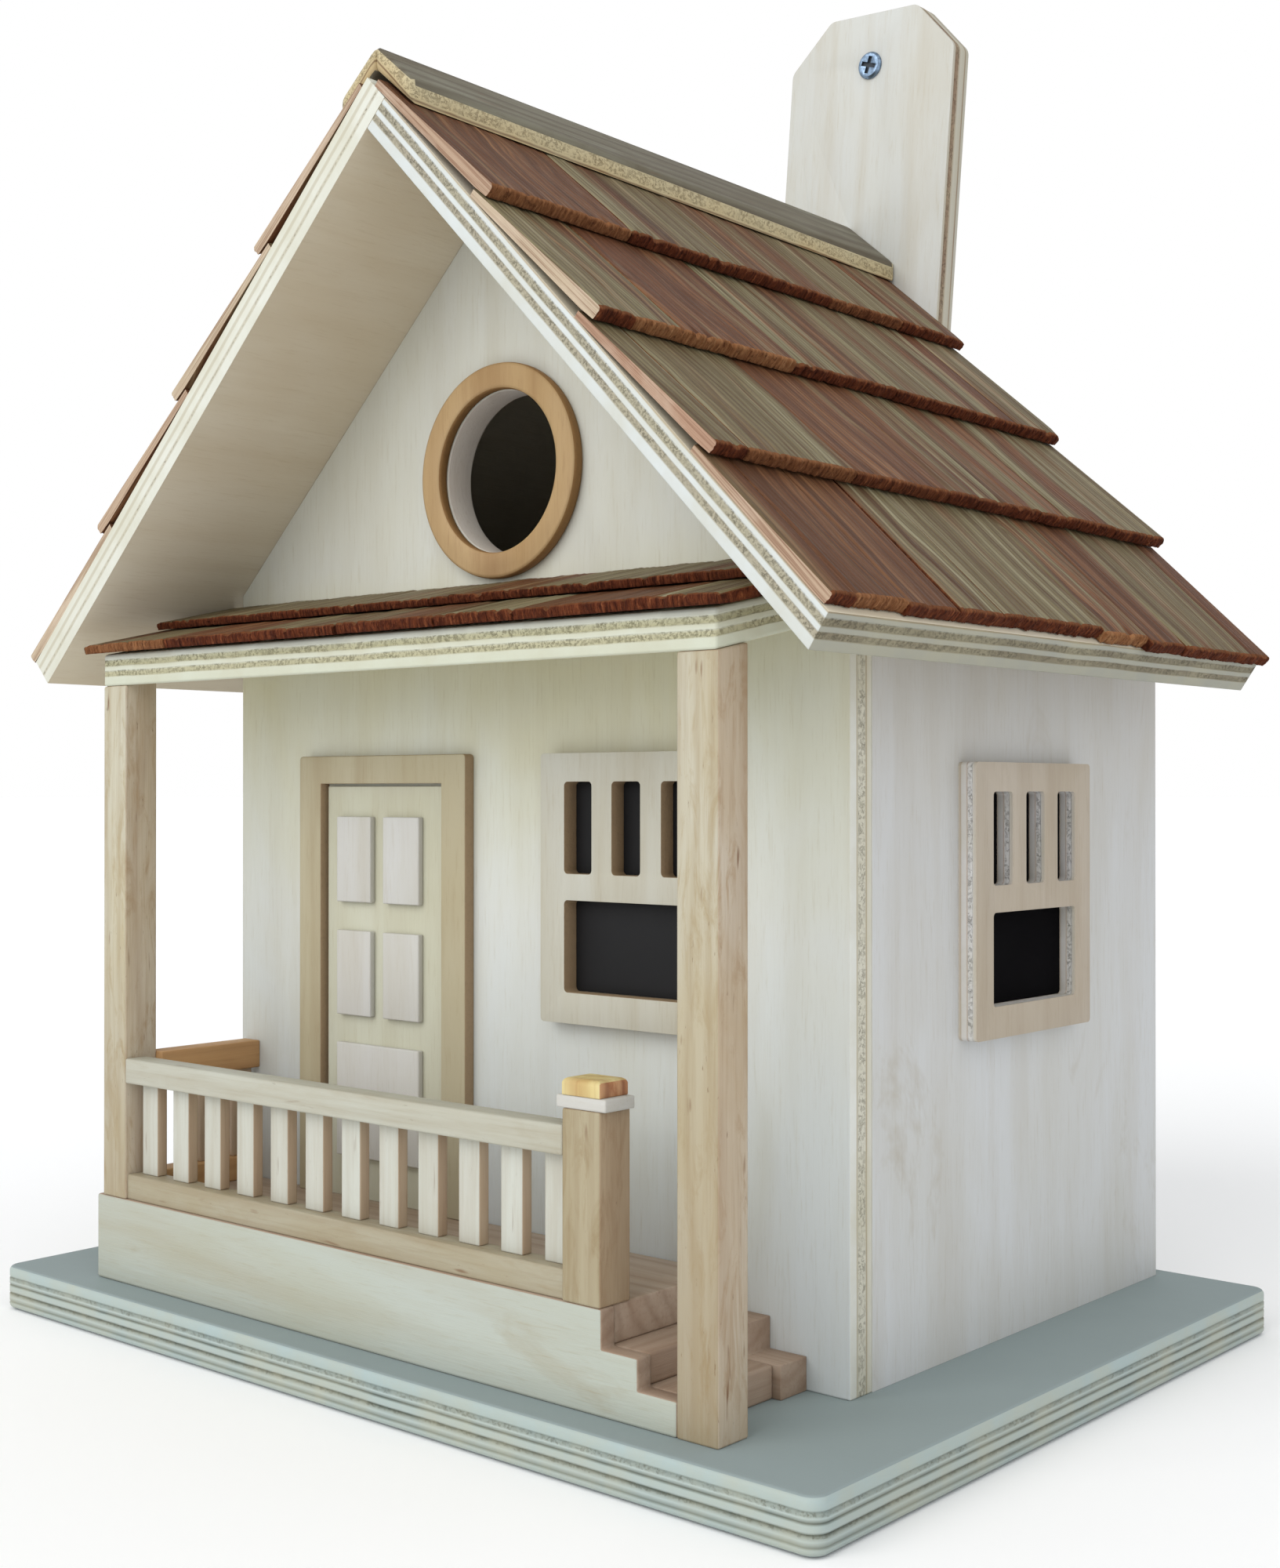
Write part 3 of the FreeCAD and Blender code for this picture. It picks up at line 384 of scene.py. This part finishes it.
MATS = {
    "wall": veneer("birch_wall", (208, 211, 208), (204, 205, 196), (180, 174, 154), 0.26,
                   light_tints=FRONT_LIGHT_TINTS),
    "wall_side": veneer("birch_side_wall", (208, 210, 212), (203, 203, 200), (178, 170, 154), 0.3,
                        light_tints=SIDE_LIGHT_TINTS, smudge=0.4),
    "soffit": veneer("birch_roof", (216, 208, 189), (210, 199, 176), (186, 168, 138), 0.3, knots=0.5),
    "hanger": veneer("birch_hanger", (204, 207, 205), (200, 200, 192), (178, 168, 146), 0.45),
    "roof_edge": ply_edge("roof_edge", ROOF_PLY, ROOF_CROSS),
    "roof_edge_smooth": ply_edge("roof_edge_smooth", ROOF_PLY_SMOOTH, [(0.34, 0.42)], 0.03, depth=0.0002),
    "porch_edge": ply_edge("porch_edge", PORCH_PLY, [(0.3, 0.5), (0.62, 0.84)], 0.035,
                           grit_color=(140, 132, 96)),
    "wall_edge": ply_edge("wall_edge", WALL_PLY, [(0.34, 0.7)], 0.012, grit_color=(184, 176, 154)),
    "eave_edge": ply_edge("eave_edge", EAVE_PLY, ROOF_CROSS, 0.03),
    "hole": veneer("hole_lining", (232, 228, 222), (222, 214, 204), (196, 184, 170), 0.4),
    "hanger_edge": ply_edge("hanger_edge", HANGER_PLY, [(0.14, 0.4)], 0.015, grit_color=(112, 86, 64)),
    "base_edge": ply_edge("base_edge", BASE_PLY, [(0.24, 0.36), (0.6, 0.7)], 0.012, 0.45, (110, 112, 96),
                          0.0002),
    "paint": plain("base_paint", (144, 156, 156), 0.55, 1200, 0.03, 0.00002, Specular__IOR__Level=0.08),
    "porch_board": veneer("porch_board", (178, 185, 178), (174, 179, 166), (158, 149, 124), 0.5, smudge=0.42),
    "post": sawn_wood("post_pine", (196, 194, 178), (182, 172, 144), (136, 112, 76), 0.5, 1.0, 0.62,
                      mottle=0.85, foot=0.5),
    "post_side": sawn_wood("post_pine_side", (200, 190, 172), (184, 166, 138), (140, 108, 78), 0.6, 1.0,
                           0.62, mottle=0.9),
    "newel": sawn_wood("newel_pine", (170, 160, 134), (158, 145, 114), (126, 102, 70), 0.35, 0.6, 0.62,
                       mottle=0.75),
    "newel_side": sawn_wood("newel_pine_side", (176, 157, 130), (162, 138, 108), (126, 96, 68), 0.4, 0.7,
                            0.62, mottle=0.8),
    "knob": sawn_wood("newel_cap_pine", (214, 204, 156), (206, 184, 122), (152, 98, 54), 0.9, 0.3, 0.5),
    "knob_end": sawn_wood("newel_cap_end", (206, 168, 128), (176, 112, 64), (112, 54, 30), 1.4, 0.9, 0.5,
                          mottle=0.9),
    "rail": sawn_wood("rail_wood", (183, 184, 172), (175, 172, 156), (146, 132, 106), 0.4, 0.5, mottle=0.3),
    # The balusters take a lighter copy of the rail wood: painted light that offsets the shade on their
    # set-back fronts.
    "baluster": sawn_wood("baluster_wood_painted_light", (196, 199, 190), (189, 188, 178), (158, 147, 124), 0.4, 0.5,
                          mottle=0.25),
    "rail_side": sawn_wood("rail_wood_side", (192, 174, 150), (182, 160, 134), (148, 118, 92), 0.5, 0.4),
    "rail_low": sawn_wood("rail_low_wood", (172, 168, 149), (162, 153, 127), (132, 112, 82), 0.6, 0.7,
                          mottle=0.4),
    "side_rail": sawn_wood("side_rail_wood", (206, 168, 120), (194, 150, 102), (150, 108, 70), 0.6, 0.3),
    "cream": veneer("cream_wood", (197, 198, 182), (190, 189, 168), (166, 157, 128), 0.4, 0.55),
    "panel": veneer("panel_wood", (199, 199, 198), (194, 193, 186), (172, 164, 146), 0.35, 0.55),
    "tan": veneer("tan_ply", (182, 175, 150), (173, 163, 134), (147, 128, 96), 0.5, 0.55),
    "tan_edge": plain("tan_edge", (160, 136, 106), 0.72, 900, 0.3, 0.0003),
    "ring": veneer("ring_ply", (187, 159, 118), (178, 148, 104), (142, 106, 68), 0.6, 0.55),
    "ring_edge": plain("ring_edge", (150, 112, 66), 0.7, 900, 0.3, 0.0003),
    "frame_front": veneer("window_ply", (191, 191, 182), (184, 181, 166), (160, 148, 122), 0.5, 0.55),
    "frame_side": veneer("side_window_ply", (184, 174, 160), (175, 163, 145), (148, 131, 108), 0.5, 0.55),
    "frame_edge": ply_edge("window_edge", WINDOW_PLY, [(0.2, 0.5)], 0.02, grit_color=(170, 162, 152)),
    "deck": sawn_wood("deck_wood", (182, 166, 150), (168, 146, 124), (130, 102, 78), 0.6, 0.5),
    "step": sawn_wood("step_wood", (178, 160, 142), (160, 137, 117), (120, 92, 71), 0.7, 0.5),
    "shingle": cedar_top("cedar_top"),
    "butt": cedar_butt("cedar_butt"),
    "shingle_side": cedar_side("cedar_side"),
    "cap": sawn_wood("ridge_cedar", (122, 119, 103), (100, 92, 74), (66, 52, 38), 1.1, 0.3, 0.6, mottle=0.5),
    "cap_edge": ply_edge("ridge_cedar_edge", CAP_PLY, [(0.4, 0.8)], 0.05, grit_color=(150, 122, 82)),
    "black": plain("black_card", (20, 20, 22), 0.62, 700, 0.2, 0.00005, Specular__IOR__Level=0.25),
    "black_side": plain("black_card_side", (10, 9, 11), 0.9, 700, 0.2, 0.00005,
                        Specular__IOR__Level=0.04),
    "zinc": metal("zinc", (138, 160, 184), 0.34),
    # Painted shade: the mounting screw's cross recess is coloured dark.
    "recess": plain("screw_recess_shade", (36, 46, 56), 0.6, 900, 0.2, 0.00005),
}


# ------------------------------------------------------------ mesh helpers
def cleaned(node):
    """A welded copy of a CAD node's mesh with its flat faces whole again."""
    bm = bmesh.new()
    bm.from_mesh(frame["nodes"][node].data)
    bmesh.ops.remove_doubles(bm, verts=bm.verts, dist=2e-6)
    bmesh.ops.dissolve_limit(bm, angle_limit=math.radians(1.5), verts=bm.verts, edges=bm.edges)
    bmesh.ops.recalc_face_normals(bm, faces=bm.faces)
    return bm


def islands(bm):
    """The separate solids of a mesh, as lists of vertices."""
    left, found = set(bm.verts), []
    for start in list(bm.verts):
        if start not in left:
            continue
        left.discard(start)
        group, queue = [], [start]
        while queue:
            v = queue.pop()
            group.append(v)
            for e in v.link_edges:
                w = e.other_vert(v)
                if w in left:
                    left.discard(w)
                    queue.append(w)
        found.append(group)
    return sorted(found, key=lambda g: tuple(round(sum(v.co[i] for v in g) / len(g), 4) for i in (1, 0, 2)))


def soften(bm, width):
    """Rounds every edge that turns by more than 35 degrees."""
    limit = math.radians(35)
    edges = [e for e in bm.edges if len(e.link_faces) == 2 and e.calc_face_angle(0) > limit]
    bmesh.ops.bevel(bm, geom=edges, offset=width, segments=2, profile=0.6, affect="EDGES", clamp_overlap=True)


def write_attributes(mesh, values):
    """Gives each vertex its place in the grain, its piece's three tones and its place across the plies."""
    grain, tone, ply = zip(*values)
    for name, vectors in (("grain", grain), ("tone", tone)):
        layer = mesh.attributes.new(name, "FLOAT_VECTOR", "POINT")
        layer.data.foreach_set("vector", [c for vector in vectors for c in vector])
    mesh.attributes.new("ply", "FLOAT", "POINT").data.foreach_set("value", ply)


def publish(bm, store, name, node, mats, smooth=40):
    """Makes the object in the place of its CAD node. store holds what each vertex's attributes say."""
    bm.verts.index_update()
    values = [store[v] for v in bm.verts]
    mesh = bpy.data.meshes.new(name)
    bm.to_mesh(mesh)
    bm.free()
    for mat in mats:
        mesh.materials.append(MATS[mat])
    mesh.polygons.foreach_set("use_smooth", [True] * len(mesh.polygons))
    mesh.set_sharp_from_angle(angle=math.radians(smooth))
    obj = bpy.data.objects.new(name, mesh)
    bpy.context.scene.collection.objects.link(obj)
    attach(obj, BODY[node])
    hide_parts(node)
    write_attributes(mesh, values)
    return obj


def scratch_grooves(bm, thick, levels, depth):
    """Shallow grooves along the glue lines of a plywood edge; levels are shares of its thickness."""
    half_width = 0.35 * MM
    depths = [v.co.dot(thick) for v in bm.verts]
    low, high = min(depths), max(depths)
    for level in levels:
        place = high - level * (high - low)
        for shift in (-half_width, 0.0, half_width):
            geom = bm.verts[:] + bm.edges[:] + bm.faces[:]
            bmesh.ops.bisect_plane(bm, geom=geom, plane_co=thick * (place + shift), plane_no=thick, dist=1e-7)
        bm.normal_update()
        ring = [v for v in bm.verts if abs(v.co.dot(thick) - place) < 1e-6 and v.is_valid]
        for v in ring:
            out = sum((f.normal for f in v.link_faces), Vector())
            out -= thick * out.dot(thick)
            if out.length > 1e-6:
                v.co -= out.normalized() * depth


def timber(node, thick, along, face, edge, soft, flip=False, groove=(), third=None, chosen=None,
           shape=cleaned):
    """A board or stick: thick is the sheet's normal, along is the grain's direction.

    face and edge are the materials of its broad faces and of the faces around them, soft is the width of its
    rounded edges in mm, flip counts the plies from the other side, and groove lists the glue lines to cut.
    The faces that chosen picks take the third material.
    """
    bm = shape(node)
    if soft:
        soften(bm, soft * MM)
    thick, along = thick.normalized(), along.normalized()
    scratch_grooves(bm, thick, groove, 0.28 * MM)
    across = thick.cross(along)
    rng = random.Random(node)
    store = {}
    for group in islands(bm):
        shift = Vector([rng.uniform(-3, 3) for _ in range(3)])
        marks = (rng.random(), rng.random(), rng.random())
        depths = [v.co.dot(thick) for v in group]
        low, high = min(depths), max(depths)
        for v, d in zip(group, depths):
            grain = Vector((v.co.dot(across), d, v.co.dot(along))) + shift
            ply = (d - low) / (high - low)
            store[v] = grain, marks, 1 - ply if flip else ply
    for f in bm.faces:
        f.material_index = 1 if edge and abs(f.normal.dot(thick)) < 0.75 else 0
        if chosen and chosen(f):
            f.material_index = 2
    mats = [face, edge or face] + ([third] if third else [])
    return publish(bm, store, node + "_wood", node, mats)


# ------------------------------------------------------------ shingles
STATION = 0.45 * MM         # from one ring of points to the next across a shingle
WORN_RIM = 0.7 * MM         # width of its lowered long edges
TOP = [0.0, 0.2, 0.4, 0.6, 0.75, 0.85, 0.91, 0.95, 0.975]       # places down its upper face
BUTT = [(-0.2, 1.0), (0.25, 0.93), (0.45, 0.8), (0.5, 0.66), (0.45, 0.52), (0.4, 0.38), (0.3, 0.24),
        (0.1, 0.1)]         # its torn end: how far out, and the share of the thickness
UNDERSIDE = (0.9, 0.5, 0.0)


def ripple(seed, along, row, across=0.0):
    """Smooth noise from -1 to 1. Each kind of unevenness reads its own row."""
    return noise.noise(Vector((along, across, row)) + seed)


def shingle_ring(y, width, length, thin, thick, seed, reach, swell, lean, ragged):
    """The outline of a shingle at one place across it: distance down, height and ply place of each point."""
    rim = 1.0 - min(1.0, min(y, width - y) / WORN_RIM)
    y_mm = y / MM
    ridge = ripple(seed, y_mm * 0.3, 2) * 0.9
    tooth = ripple(seed, y_mm * 1.1, 5) * 0.75
    crumb = max(0.0, ripple(seed, y_mm * 0.45, 9) - 0.15) * 2.6
    wave = 0.15 * ripple(seed, y_mm * 0.9, 0) + 0.2 * ripple(seed, y_mm * 0.16, 4)
    ring = []
    for f in TOP:
        full = thin + (thick - thin) * f
        n = full * swell + (wave - 0.1 - 0.3 * rim) * MM + lean * (y / width - 0.5) * f
        if f > 0.9:
            n -= crumb * (f - 0.9) * 6 * MM * ragged
        ring.append((f * reach, min(n, full), 1.0))
    body = ring[-1][1]
    for out, t in BUTT:
        grit = ripple(seed, y_mm * 2.0, 13, t * 7.0) * 0.55
        down = reach + (out * 0.6 + (ridge + tooth + grit) * ragged * 0.55 - 0.5) * MM
        n = body * t - (crumb * 0.35 * MM * ragged if t > 0.85 else 0.0)
        ring.append((min(down, length), max(n, 0.0), t))
    return ring + [(reach * f, 0.0, 0.0) for f in UNDERSIDE]


def shingle(bm, store, place, width, length, thin, thick, rng, marks, outer):
    """One tapered shingle with a torn butt, no longer or thicker than its CAD solid.

    place turns a distance across, a distance down and a height into a point. outer says which of its two
    sides close the course.
    """
    stations = max(8, round(width / STATION))
    reach = length - rng.uniform(0.2, 1.1) * MM
    swell = rng.uniform(0.9, 1.0)
    lean = rng.uniform(-0.35, 0.35) * MM
    ragged = rng.uniform(0.7, 1.25)
    seed = Vector([rng.uniform(0, 90) for _ in range(3)])
    rings = []
    for i in range(stations + 1):
        y = width * i / stations
        verts = []
        for down, n, t in shingle_ring(y, width, length, thin, thick, seed, reach, swell, lean, ragged):
            v = bm.verts.new(place(y, down, n))
            store[v] = (Vector((y, n, down)) + seed * 0.01, marks, t)
            verts.append(v)
        rings.append(verts)
    count = len(rings[0])
    butt_from, butt_to = len(TOP) - 1, len(TOP) + len(BUTT) - 1
    for a, b in zip(rings, rings[1:]):
        for k in range(count):
            j = (k + 1) % count
            f = bm.faces.new((a[k], b[k], b[j], a[j]))
            f.material_index = 1 if butt_from <= k <= butt_to else 0
    for ring, turn, bare in ((rings[0], 1, outer[0]), (rings[-1], -1, outer[1])):
        f = bm.faces.new(ring[::turn])
        f.material_index = 2 if bare else 1


def rebuild(node, width_axis, tones=(), front_edge=None):
    """Rebuilds every shingle of a course from the corners of its CAD solids.

    tones sets how red each shingle is, and front_edge the tone of the course's bare front edge, if any.
    """
    bare = front_edge is not None
    bm_in = cleaned(node)
    bm, store, rng = bmesh.new(), {}, random.Random(node)
    groups = sorted(islands(bm_in), key=lambda g: min(v.co.dot(width_axis) for v in g))
    for i, group in enumerate(groups):
        spans = [v.co.dot(width_axis) for v in group]
        low_w, high_w = min(spans), max(spans)
        sides = [[v.co for v in group if abs(v.co.dot(width_axis) - w) < 1e-5] for w in (low_w, high_w)]
        corners = min(sides, key=len)
        upper, lower, thin, thick = side_corners(corners)
        along = (lower - upper).normalized()
        up = width_axis.cross(along)
        if up.z < 0:
            up = -up
        start = upper - width_axis * (upper.dot(width_axis) - low_w)
        tone = tones[i] if i < len(tones) else rng.random()
        marks = (tone, front_edge if bare and i == 0 else rng.random(), rng.random())

        def place(y, down, n):
            return start + width_axis * y + along * down + up * n

        outer = (bare and i == 0, bare and i == len(groups) - 1)
        shingle(bm, store, place, high_w - low_w, (lower - upper).length, thin, thick, rng, marks, outer)
    bm_in.free()
    bmesh.ops.recalc_face_normals(bm, faces=bm.faces)
    publish(bm, store, node + "_cedar", node, ["shingle", "butt", "shingle_side"], 50)


def side_corners(corners):
    """The lower-face ends of a shingle's side, upper end first, and its thickness at each."""
    centre, axis = sum(corners, Vector()) / len(corners), long_way(corners)
    spread = sorted(corners, key=lambda c: (c - centre).dot(axis))
    ends = spread[:2], spread[-2:]
    ends = sorted(ends, key=lambda e: -(e[0].z + e[1].z))
    (up_a, up_b), (low_a, low_b) = [sorted(e, key=lambda c: c.z) for e in ends]
    return up_a, low_a, (up_b - up_a).length, (low_b - low_a).length


def long_way(corners):
    """The direction between the two corners that lie furthest apart."""
    a, b = max(((p, q) for p in corners for q in corners), key=lambda pair: (pair[0] - pair[1]).length)
    return (b - a).normalized()


TONES = {
    "shingles_right_1": [0.8, 0.3, 0.55, 0.25, 0.5],
    "shingles_right_2": [0.2, 0.35, 0.85, 0.25, 0.45, 0.3, 0.6, 0.5],
    "shingles_right_3": [0.3, 0.25, 0.9, 0.55, 0.3, 0.7, 0.45, 0.4],
    "shingles_right_4": [0.75, 0.9, 0.95, 0.2, 0.35, 0.5, 0.8, 0.4, 0.85],
}
FRONT_EDGE = {"right": [0.7, 0.4, 0.9, 0.65], "left": [0.5, 0.3, 0.6, 0.4]}
for side in ("left", "right"):
    for number in range(4):
        node = f"shingles_{side}_{number + 1}"
        rebuild(node, Y, TONES.get(node, ()), FRONT_EDGE[side][number])
for node in ("porch_shingles_lower", "porch_shingles_upper"):
    rebuild(node, X)


# ------------------------------------------------------------ boards
def tipped(toward, degrees):
    """The upward direction, tipped toward another."""
    angle = math.radians(degrees)
    return Z * math.cos(angle) + toward * math.sin(angle)


ROOF_LEFT, ROOF_RIGHT = tipped(-X, ROOF_LEFT_SLOPE), tipped(X, ROOF_RIGHT_SLOPE)
PORCH_ROOF = tipped(-Y, PORCH_SLOPE)
HANGER_GRAIN = tipped(X, HANGER_LEAN)
DOWN_RIGHT = Vector((ROOF_RIGHT.z, 0, -ROOF_RIGHT.x))

screw_points = [v.co for v in frame["nodes"]["mounting_screw"].data.vertices]
SCREW_LOW = Vector([min(p[i] for p in screw_points) for i in range(3)])
SCREW_HIGH = Vector([max(p[i] for p in screw_points) for i in range(3)])
SCREW_MIDDLE = (SCREW_LOW + SCREW_HIGH) / 2

THREAD_LENGTH = 22.0 * MM
THREAD_CONE = 6.0 * MM      # its pointed end
THREAD_R = 2.4 * MM
THREAD_PITCH = 1.5 * MM
THREAD_ROOT, THREAD_CREST = 0.74, 0.25      # shares of the radius; together a little inside the CAD's
THREAD_ROUND, THREAD_RINGS = 40, 170
THREAD_LAP = 0.8 * MM       # the thread starts this far inside the plain shank


def threaded(node):
    """The mounting screw with a thread in place of the plain end of its shank."""
    bm = cleaned(node)
    tip = SCREW_HIGH.y
    start = tip - THREAD_LENGTH
    geom = bm.verts[:] + bm.edges[:] + bm.faces[:]
    bmesh.ops.bisect_plane(bm, geom=geom, plane_co=(0, start, 0), plane_no=(0, 1, 0), clear_outer=True)
    bmesh.ops.holes_fill(bm, edges=[e for e in bm.edges if e.is_boundary])
    soften(bm, 0.12 * MM)
    rings = []
    for i in range(THREAD_RINGS + 1):
        y = start - THREAD_LAP + (tip - start + THREAD_LAP) * i / THREAD_RINGS
        reach = THREAD_R * max(0.02, min(1.0, (tip - y) / THREAD_CONE))
        ring = []
        for k in range(THREAD_ROUND):
            phase = ((y - start) / THREAD_PITCH - k / THREAD_ROUND) % 1.0
            crest = max(0.0, 1.0 - abs(phase - 0.5) / 0.3) if y > start else 0.0
            r = reach * (THREAD_ROOT + THREAD_CREST * crest)
            a = math.tau * k / THREAD_ROUND
            x, z = SCREW_MIDDLE.x + r * math.cos(a), SCREW_MIDDLE.z + r * math.sin(a)
            ring.append(bm.verts.new((x, y, z)))
        rings.append(ring)
    for a, b in zip(rings, rings[1:]):
        for k in range(THREAD_ROUND):
            j = (k + 1) % THREAD_ROUND
            bm.faces.new((a[k], a[j], b[j], b[k]))
    bm.faces.new(rings[0])
    bm.faces.new(rings[-1][::-1])
    bmesh.ops.recalc_face_normals(bm, faces=bm.faces)
    return bm


def in_recess(f):
    """Whether a face of the mounting screw lies in its cross recess."""
    c = f.calc_center_median()
    off = math.hypot(c.x - SCREW_MIDDLE.x, c.z - SCREW_MIDDLE.z)
    return SCREW_LOW.y + 0.1 * MM < c.y < SCREW_LOW.y + 1.0 * MM and off < 3.1 * MM


def in_hole(f):
    """Whether a face of the front wall lines the entrance hole."""
    c = f.calc_center_median()
    return abs(f.normal.y) < 0.5 and c.z > 200 * MM and abs(c.x) < 40 * MM


def flat_below(obj):
    """Shades an underside flat, so that smooth shading doesn't bend around the screw wells."""
    for polygon in obj.data.polygons:
        if polygon.normal.z < -0.999:
            polygon.use_smooth = False


flat_below(timber("base_board", Z, X, "paint", "base_edge", 0.0, flip=True, groove=[0.255, 0.44, 0.63, 0.84]))
timber("front_wall", Y, Z, "wall", "wall_edge", 0.5, third="hole", chosen=in_hole)
timber("back_wall", Y, Z, "wall_side", "wall_edge", 0.4)
timber("left_wall", X, Z, "wall_side", "wall_edge", 0.4)
timber("right_wall", X, Z, "wall_side", "wall_edge", 0.4)
timber("roof_panel_left", ROOF_LEFT, Y, "soffit", "roof_edge_smooth", 1.5)
# The down-slope end faces of the right panel take the darkened eave edge: painted shade.
timber("roof_panel_right", ROOF_RIGHT, Y, "soffit", "roof_edge", 1.5, third="eave_edge",
       chosen=lambda f: f.normal.dot(DOWN_RIGHT) > 0.7)
timber("ridge_cap_left", ROOF_LEFT, Y, "cap", "cap_edge", 1.7)
timber("ridge_cap_right", ROOF_RIGHT, Y, "cap", "cap_edge", 1.7)
timber("hanger_board", Y, HANGER_GRAIN, "hanger", "hanger_edge", 0.8)
timber("entrance_ring", Y, Z, "ring", "ring_edge", 1.1)
timber("door_frame", Y, Z, "tan", "tan_edge", 0.4)
timber("door_slab", Y, Z, "cream", None, 0.2)
timber("door_raised_panels", Y, Z, "panel", None, 0.4)
timber("window_frame_front", Y, Z, "frame_front", "tan_edge", 0.4)
timber("window_frame_right", X, Z, "frame_side", "frame_edge", 0.4, flip=True)
timber("window_frame_left", X, Z, "frame_side", "frame_edge", 0.4)
for spot in ("front", "right", "left"):
    front = spot == "front"
    timber("window_panes_" + spot, Y if front else X, Z, "black" if front else "black_side", None, 0.1)
timber("porch_front_board", Y, X, "porch_board", "step", 0.8)
timber("porch_back_board", Y, X, "step", None, 1.2)
timber("deck_end_board", X, Y, "porch_board", "porch_edge", 0.5)
timber("porch_deck", Z, X, "deck", "step", 0.6)
timber("step_tread_lower", Z, Y, "step", None, 0.8)
timber("step_tread_upper", Z, Y, "step", None, 0.8)
timber("porch_roof_board", PORCH_ROOF, X, "wall", "porch_edge", 0.9)
timber("porch_post_left", Y, Z, "post", "post_side", 0.6)
timber("porch_post_right", Y, Z, "post", "post_side", 0.6)
timber("front_top_rail", Y, X, "rail", "rail", 0.6)
timber("front_bottom_rail", Y, X, "rail_low", None, 0.5)
# The baluster fronts take the lighter copy of the rail wood: painted light.
timber("front_balusters", Y, Z, "baluster", "rail_side", 0.4)
timber("side_top_rail", X, Y, "side_rail", None, 0.5)
timber("side_bottom_rail", X, Y, "side_rail", None, 0.5)
timber("side_balusters", X, Z, "rail_side", None, 0.35)
timber("newel_post", Y, Z, "newel", "newel_side", 0.6)
timber("newel_cap_plate", Z, X, "panel", None, 0.5)
timber("newel_cap_block", X, Z, "knob_end", "knob", 0.3)
timber("cleanout_cover", Y, Z, "wall_side", "wall_edge", 0.8)
for node in ("cleanout_pivot_screw", "base_screws", "hanger_brads"):
    timber(node, Y, Z, "zinc", None, 0.12)
# The faces in the cross recess take the dark recess colour: painted shade.
timber("mounting_screw", Y, Z, "zinc", None, 0.0, third="recess", chosen=in_recess, shape=threaded)


# ------------------------------------------------------------ stage, light and camera
def stage():
    """A plain white floor just below the base."""
    bm = bmesh.new()
    bmesh.ops.create_grid(bm, x_segments=8, y_segments=8, size=60.0)
    mesh = bpy.data.meshes.new("floor")
    bm.to_mesh(mesh)
    bm.free()
    floor = bpy.data.objects.new("floor", mesh)
    floor.location.z = -0.5 * MM
    bpy.context.scene.collection.objects.link(floor)
    mesh.materials.append(Mat("floor_white").done((1.0, 1.0, 1.0), 0.9, Specular__IOR__Level=0.1))


def sun(name, direction, power, spread, color):
    """A soft lamp that shines from a direction; spread is its angular size in degrees."""
    data = bpy.data.lights.new(name, "SUN")
    data.energy, data.angle, data.color = power, math.radians(spread), color
    lamp = bpy.data.objects.new(name, data)
    lamp.rotation_euler = Vector(direction).to_track_quat("Z", "Y").to_euler()
    bpy.context.scene.collection.objects.link(lamp)


def light():
    """A white studio: it lights the object less than it shows behind it."""
    world = bpy.data.worlds.new("studio")
    bpy.context.scene.world = world
    world.use_nodes = True
    tree = world.node_tree
    back = tree.nodes["Background"]
    back.inputs[0].default_value = (0.97, 0.985, 1.0, 1)
    back.inputs[1].default_value = 0.75
    seen = tree.nodes.new("ShaderNodeBackground")
    seen.inputs[0].default_value = (1, 1, 1, 1)
    path = tree.nodes.new("ShaderNodeLightPath")
    pick = tree.nodes.new("ShaderNodeMixShader")
    tree.links.new(path.outputs["Is Camera Ray"], pick.inputs[0])
    tree.links.new(back.outputs[0], pick.inputs[1])
    tree.links.new(seen.outputs[0], pick.inputs[2])
    tree.links.new(pick.outputs[0], tree.nodes["World Output"].inputs[0])
    sun("key", (-0.1, -0.9, 0.52), 1.5, 55, (1.0, 0.995, 0.985))
    sun("fill", (0.9, -0.35, 0.7), 0.42, 60, (1, 1, 1))


def camera():
    """Stands to the right of the front, level with the middle of the house."""
    azimuth, rise = math.radians(40.753), math.radians(-0.23)
    place = (0.3859, -0.4393, 0.1575)
    back = Vector((math.sin(azimuth) * math.cos(rise), -math.cos(azimuth) * math.cos(rise), math.sin(rise)))
    right = Vector((math.cos(azimuth), math.sin(azimuth), 0))
    up = back.cross(right)
    data = bpy.data.cameras.new("camera")
    data.sensor_fit, data.sensor_width, data.lens = "HORIZONTAL", 36, 54.9
    data.clip_start, data.clip_end = 0.01, 50
    cam = bpy.data.objects.new("camera", data)
    cam.matrix_world = Matrix.Translation(place) @ Matrix((right, up, back)).transposed().to_4x4()
    bpy.context.scene.collection.objects.link(cam)
    bpy.context.scene.camera = cam


stage()
light()
camera()
bpy.context.scene.view_settings.view_transform = "Standard"
bpy.context.view_layer.update()
